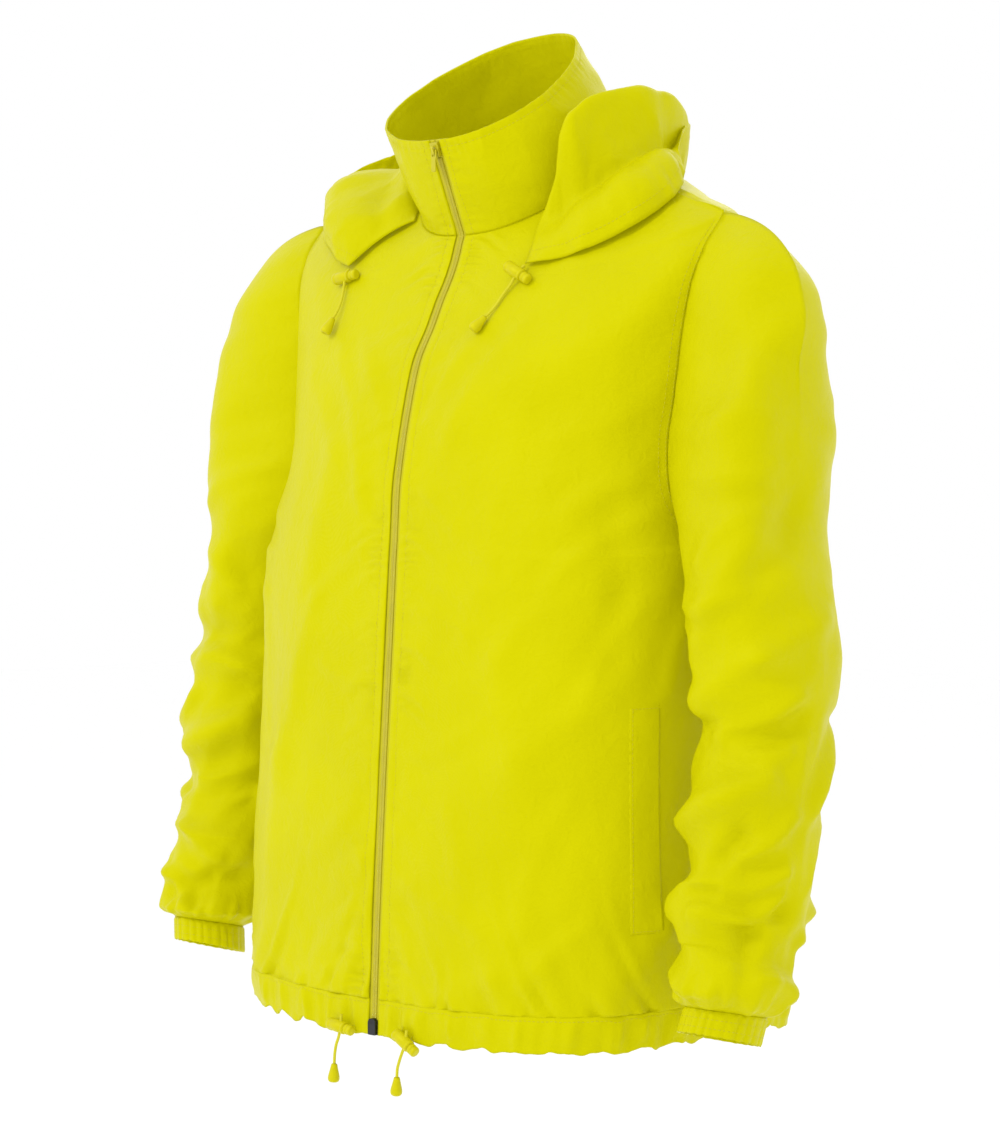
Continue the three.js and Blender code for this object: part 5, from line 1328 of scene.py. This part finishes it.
COIL = coil_material()
reach = np.concatenate([[0], np.cumsum(np.linalg.norm(np.diff(zip_centre, axis=0), axis=1))])
span = np.interp([COIL_FOOT, COIL_TOP], zip_centre[:, 2], reach)
along = np.arange(span[0], span[1], COIL_PITCH / 6)
middle_line = np.stack([np.interp(along, reach, zip_centre[:, k]) for k in range(3)], axis=1)
out_line = np.stack([np.interp(along, reach, zip_out[:, k]) for k in range(3)], axis=1)
x = np.concatenate([np.linspace(-COIL_HALF, COIL_HALF, 17), [COIL_HALF * 0.9, -COIL_HALF * 0.9]])
bead = np.sqrt(np.clip(1 - ((np.abs(x) - COIL_HALF / 2) / (COIL_HALF / 2)) ** 2, 0, 1))
bead[-2:] = -0.1
turn = math.pi * along[:, None] / COIL_PITCH + np.where(x > 0, 0.0, math.pi / 2)[None]
rib = 1 - 0.42 * np.abs(np.sin(turn)) ** 3
height = np.where(bead > 0, bead * rib * COIL_HEIGHT, bead * COIL_HEIGHT)
coil_grid = middle_line[:, None] + out_line[:, None] * (height - TAPE_DEPTH + 0.05)[..., None]
coil_grid[..., 0] = x[None] * (1 + 0.05 * (rib - 1))
ids = np.arange(coil_grid.shape[0] * len(x)).reshape(coil_grid.shape[:2])
wrapped = np.hstack([ids, ids[:, :1]])
faces = np.stack([wrapped[:-1, :-1], wrapped[:-1, 1:], wrapped[1:, 1:], wrapped[1:, :-1]], axis=2).reshape(-1, 4)
coil = link_mesh("zip_coil_band", coil_grid.reshape(-1, 3), faces, COIL, "coil")
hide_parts("zip_chain")


# Slider, pull and bottom box: the slider and its pull are die-cast and painted to match the zip, and
# the box that ends the zip at the hem is dark metal. Their edges are rounded.
LACQUER_DARK = (0.50, 0.45, 0.003)
LACQUER_LIGHT = (0.62, 0.56, 0.003)
BOX_DARK = (0.020, 0.021, 0.024)
BOX_LIGHT = (0.060, 0.062, 0.068)


def metal_material(name, dark, light, metallic, roughness, coat):
    material, tree, shader = new_material(name, light, roughness, metallic)
    shader.inputs["Coat Weight"].default_value = coat
    shader.inputs["Coat Roughness"].default_value = 0.15
    patches = place_group(tree, MOTTLING, Scale=180.0)
    tint(tree, shader, patches.outputs["Mask"], dark, light)
    tree.links.new(spread(tree, patches.outputs["Mask"], roughness - 0.08, roughness + 0.12), shader.inputs["Roughness"])
    bump(tree, shader, patches.outputs["Mask"], 0.00005, 0.4)
    return material


LACQUER = metal_material("zip_lacquer", LACQUER_DARK, LACQUER_LIGHT, 0.25, 0.34, 0.35)
DARK_METAL = metal_material("zip_dark_metal", BOX_DARK, BOX_LIGHT, 0.75, 0.38, 0.1)
for node, material, rounding in (("zip_slider", LACQUER, 0.45), ("zip_pull", LACQUER, 0.22), ("zip_bottom_box", DARK_METAL, 0.6)):
    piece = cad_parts[node]
    piece.data.materials.clear()
    piece.data.materials.append(material)
    weld = piece.modifiers.new("joined_corners", "WELD")
    weld.merge_threshold = 0.00002
    rounded = piece.modifiers.new("rounded_edges", "BEVEL")
    rounded.width = rounding / 1000
    rounded.segments = 3
    rounded.limit_method = "ANGLE"
    rounded.angle_limit = math.radians(25)


# Pocket welts: a folded strip of nylon set upright in each front, sewn down on three sides. Its free
# edge, towards the side seam, is the pocket's mouth.
WELT_SHARES = (0.66, 0.735)
WELT_HEIGHTS = (-567, -405)
WELT_THICKNESS = 0.5
WELT_LIFT = -0.5
WELT_MOUTH_LIFT = 0.7
WELT_INSET = 2.2

for side, side_name in ((1, "left"), (-1, "right")):
    panel = fronts[side]
    panel_out = grid_normals(panel, False, body_middle(panel))
    heights = between(FRONT_TABLE, FRONT_T)[:, 0]
    rows = np.interp(np.linspace(*WELT_HEIGHTS, 90), heights, np.arange(len(FRONT_T)))
    columns = np.interp(np.linspace(*WELT_SHARES, 17), FRONT_SHARES, np.arange(len(FRONT_SHARES)))
    i, j = rows.astype(int)[:, None], columns.astype(int)[None]
    u, v = (rows[:, None] - i)[..., None], (columns[None] - j)[..., None]
    mix = lambda field: (field[i, j] * (1 - v) + field[i, j + 1] * v) * (1 - u) + (
        field[i + 1, j] * (1 - v) + field[i + 1, j + 1] * v
    ) * u
    grid, out = mix(panel), mix(panel_out)
    reach = np.linspace(0, 1, 17)[None]
    ends = np.minimum(np.arange(90), np.arange(90)[::-1])[:, None] * (162 / 89)
    free = smooth(ends / 14)
    lift = WELT_LIFT + WELT_THICKNESS + free * WELT_MOUTH_LIFT * reach**2
    inside = np.minimum(reach * 20, ends)
    lift = lift + 0.35 * smooth(inside / 1.5) - 0.3 * np.exp(-(((inside - WELT_INSET) / 0.9) ** 2))
    lift = lift + 0.25 * puckers(inside - WELT_INSET, grid[..., 2], 5, 7, 61 + side)
    grid = grid + out * lift[..., None]
    welt = cloth_piece(
        f"welt_cloth_{side_name}", grid, False, body_middle(grid), [f"pocket_welt_{side_name}"], WELT_THICKNESS
    )
    place = WELT_INSET / 20 * 16
    low, share = int(place), place - int(place)
    row = WELT_INSET / (162 / 89)
    first, last = round(row), 89 - round(row)
    upright = grid[first : last + 1, low] * (1 - share) + grid[first : last + 1, low + 1] * share
    seams = [stitch_line(upright, out[first : last + 1, low])]
    for end in (first, last):
        seams.append(stitch_line(grid[end, low:-1], out[end, low:-1], 2.6))
    sewn(f"welt_stitches_{side_name}", seams)
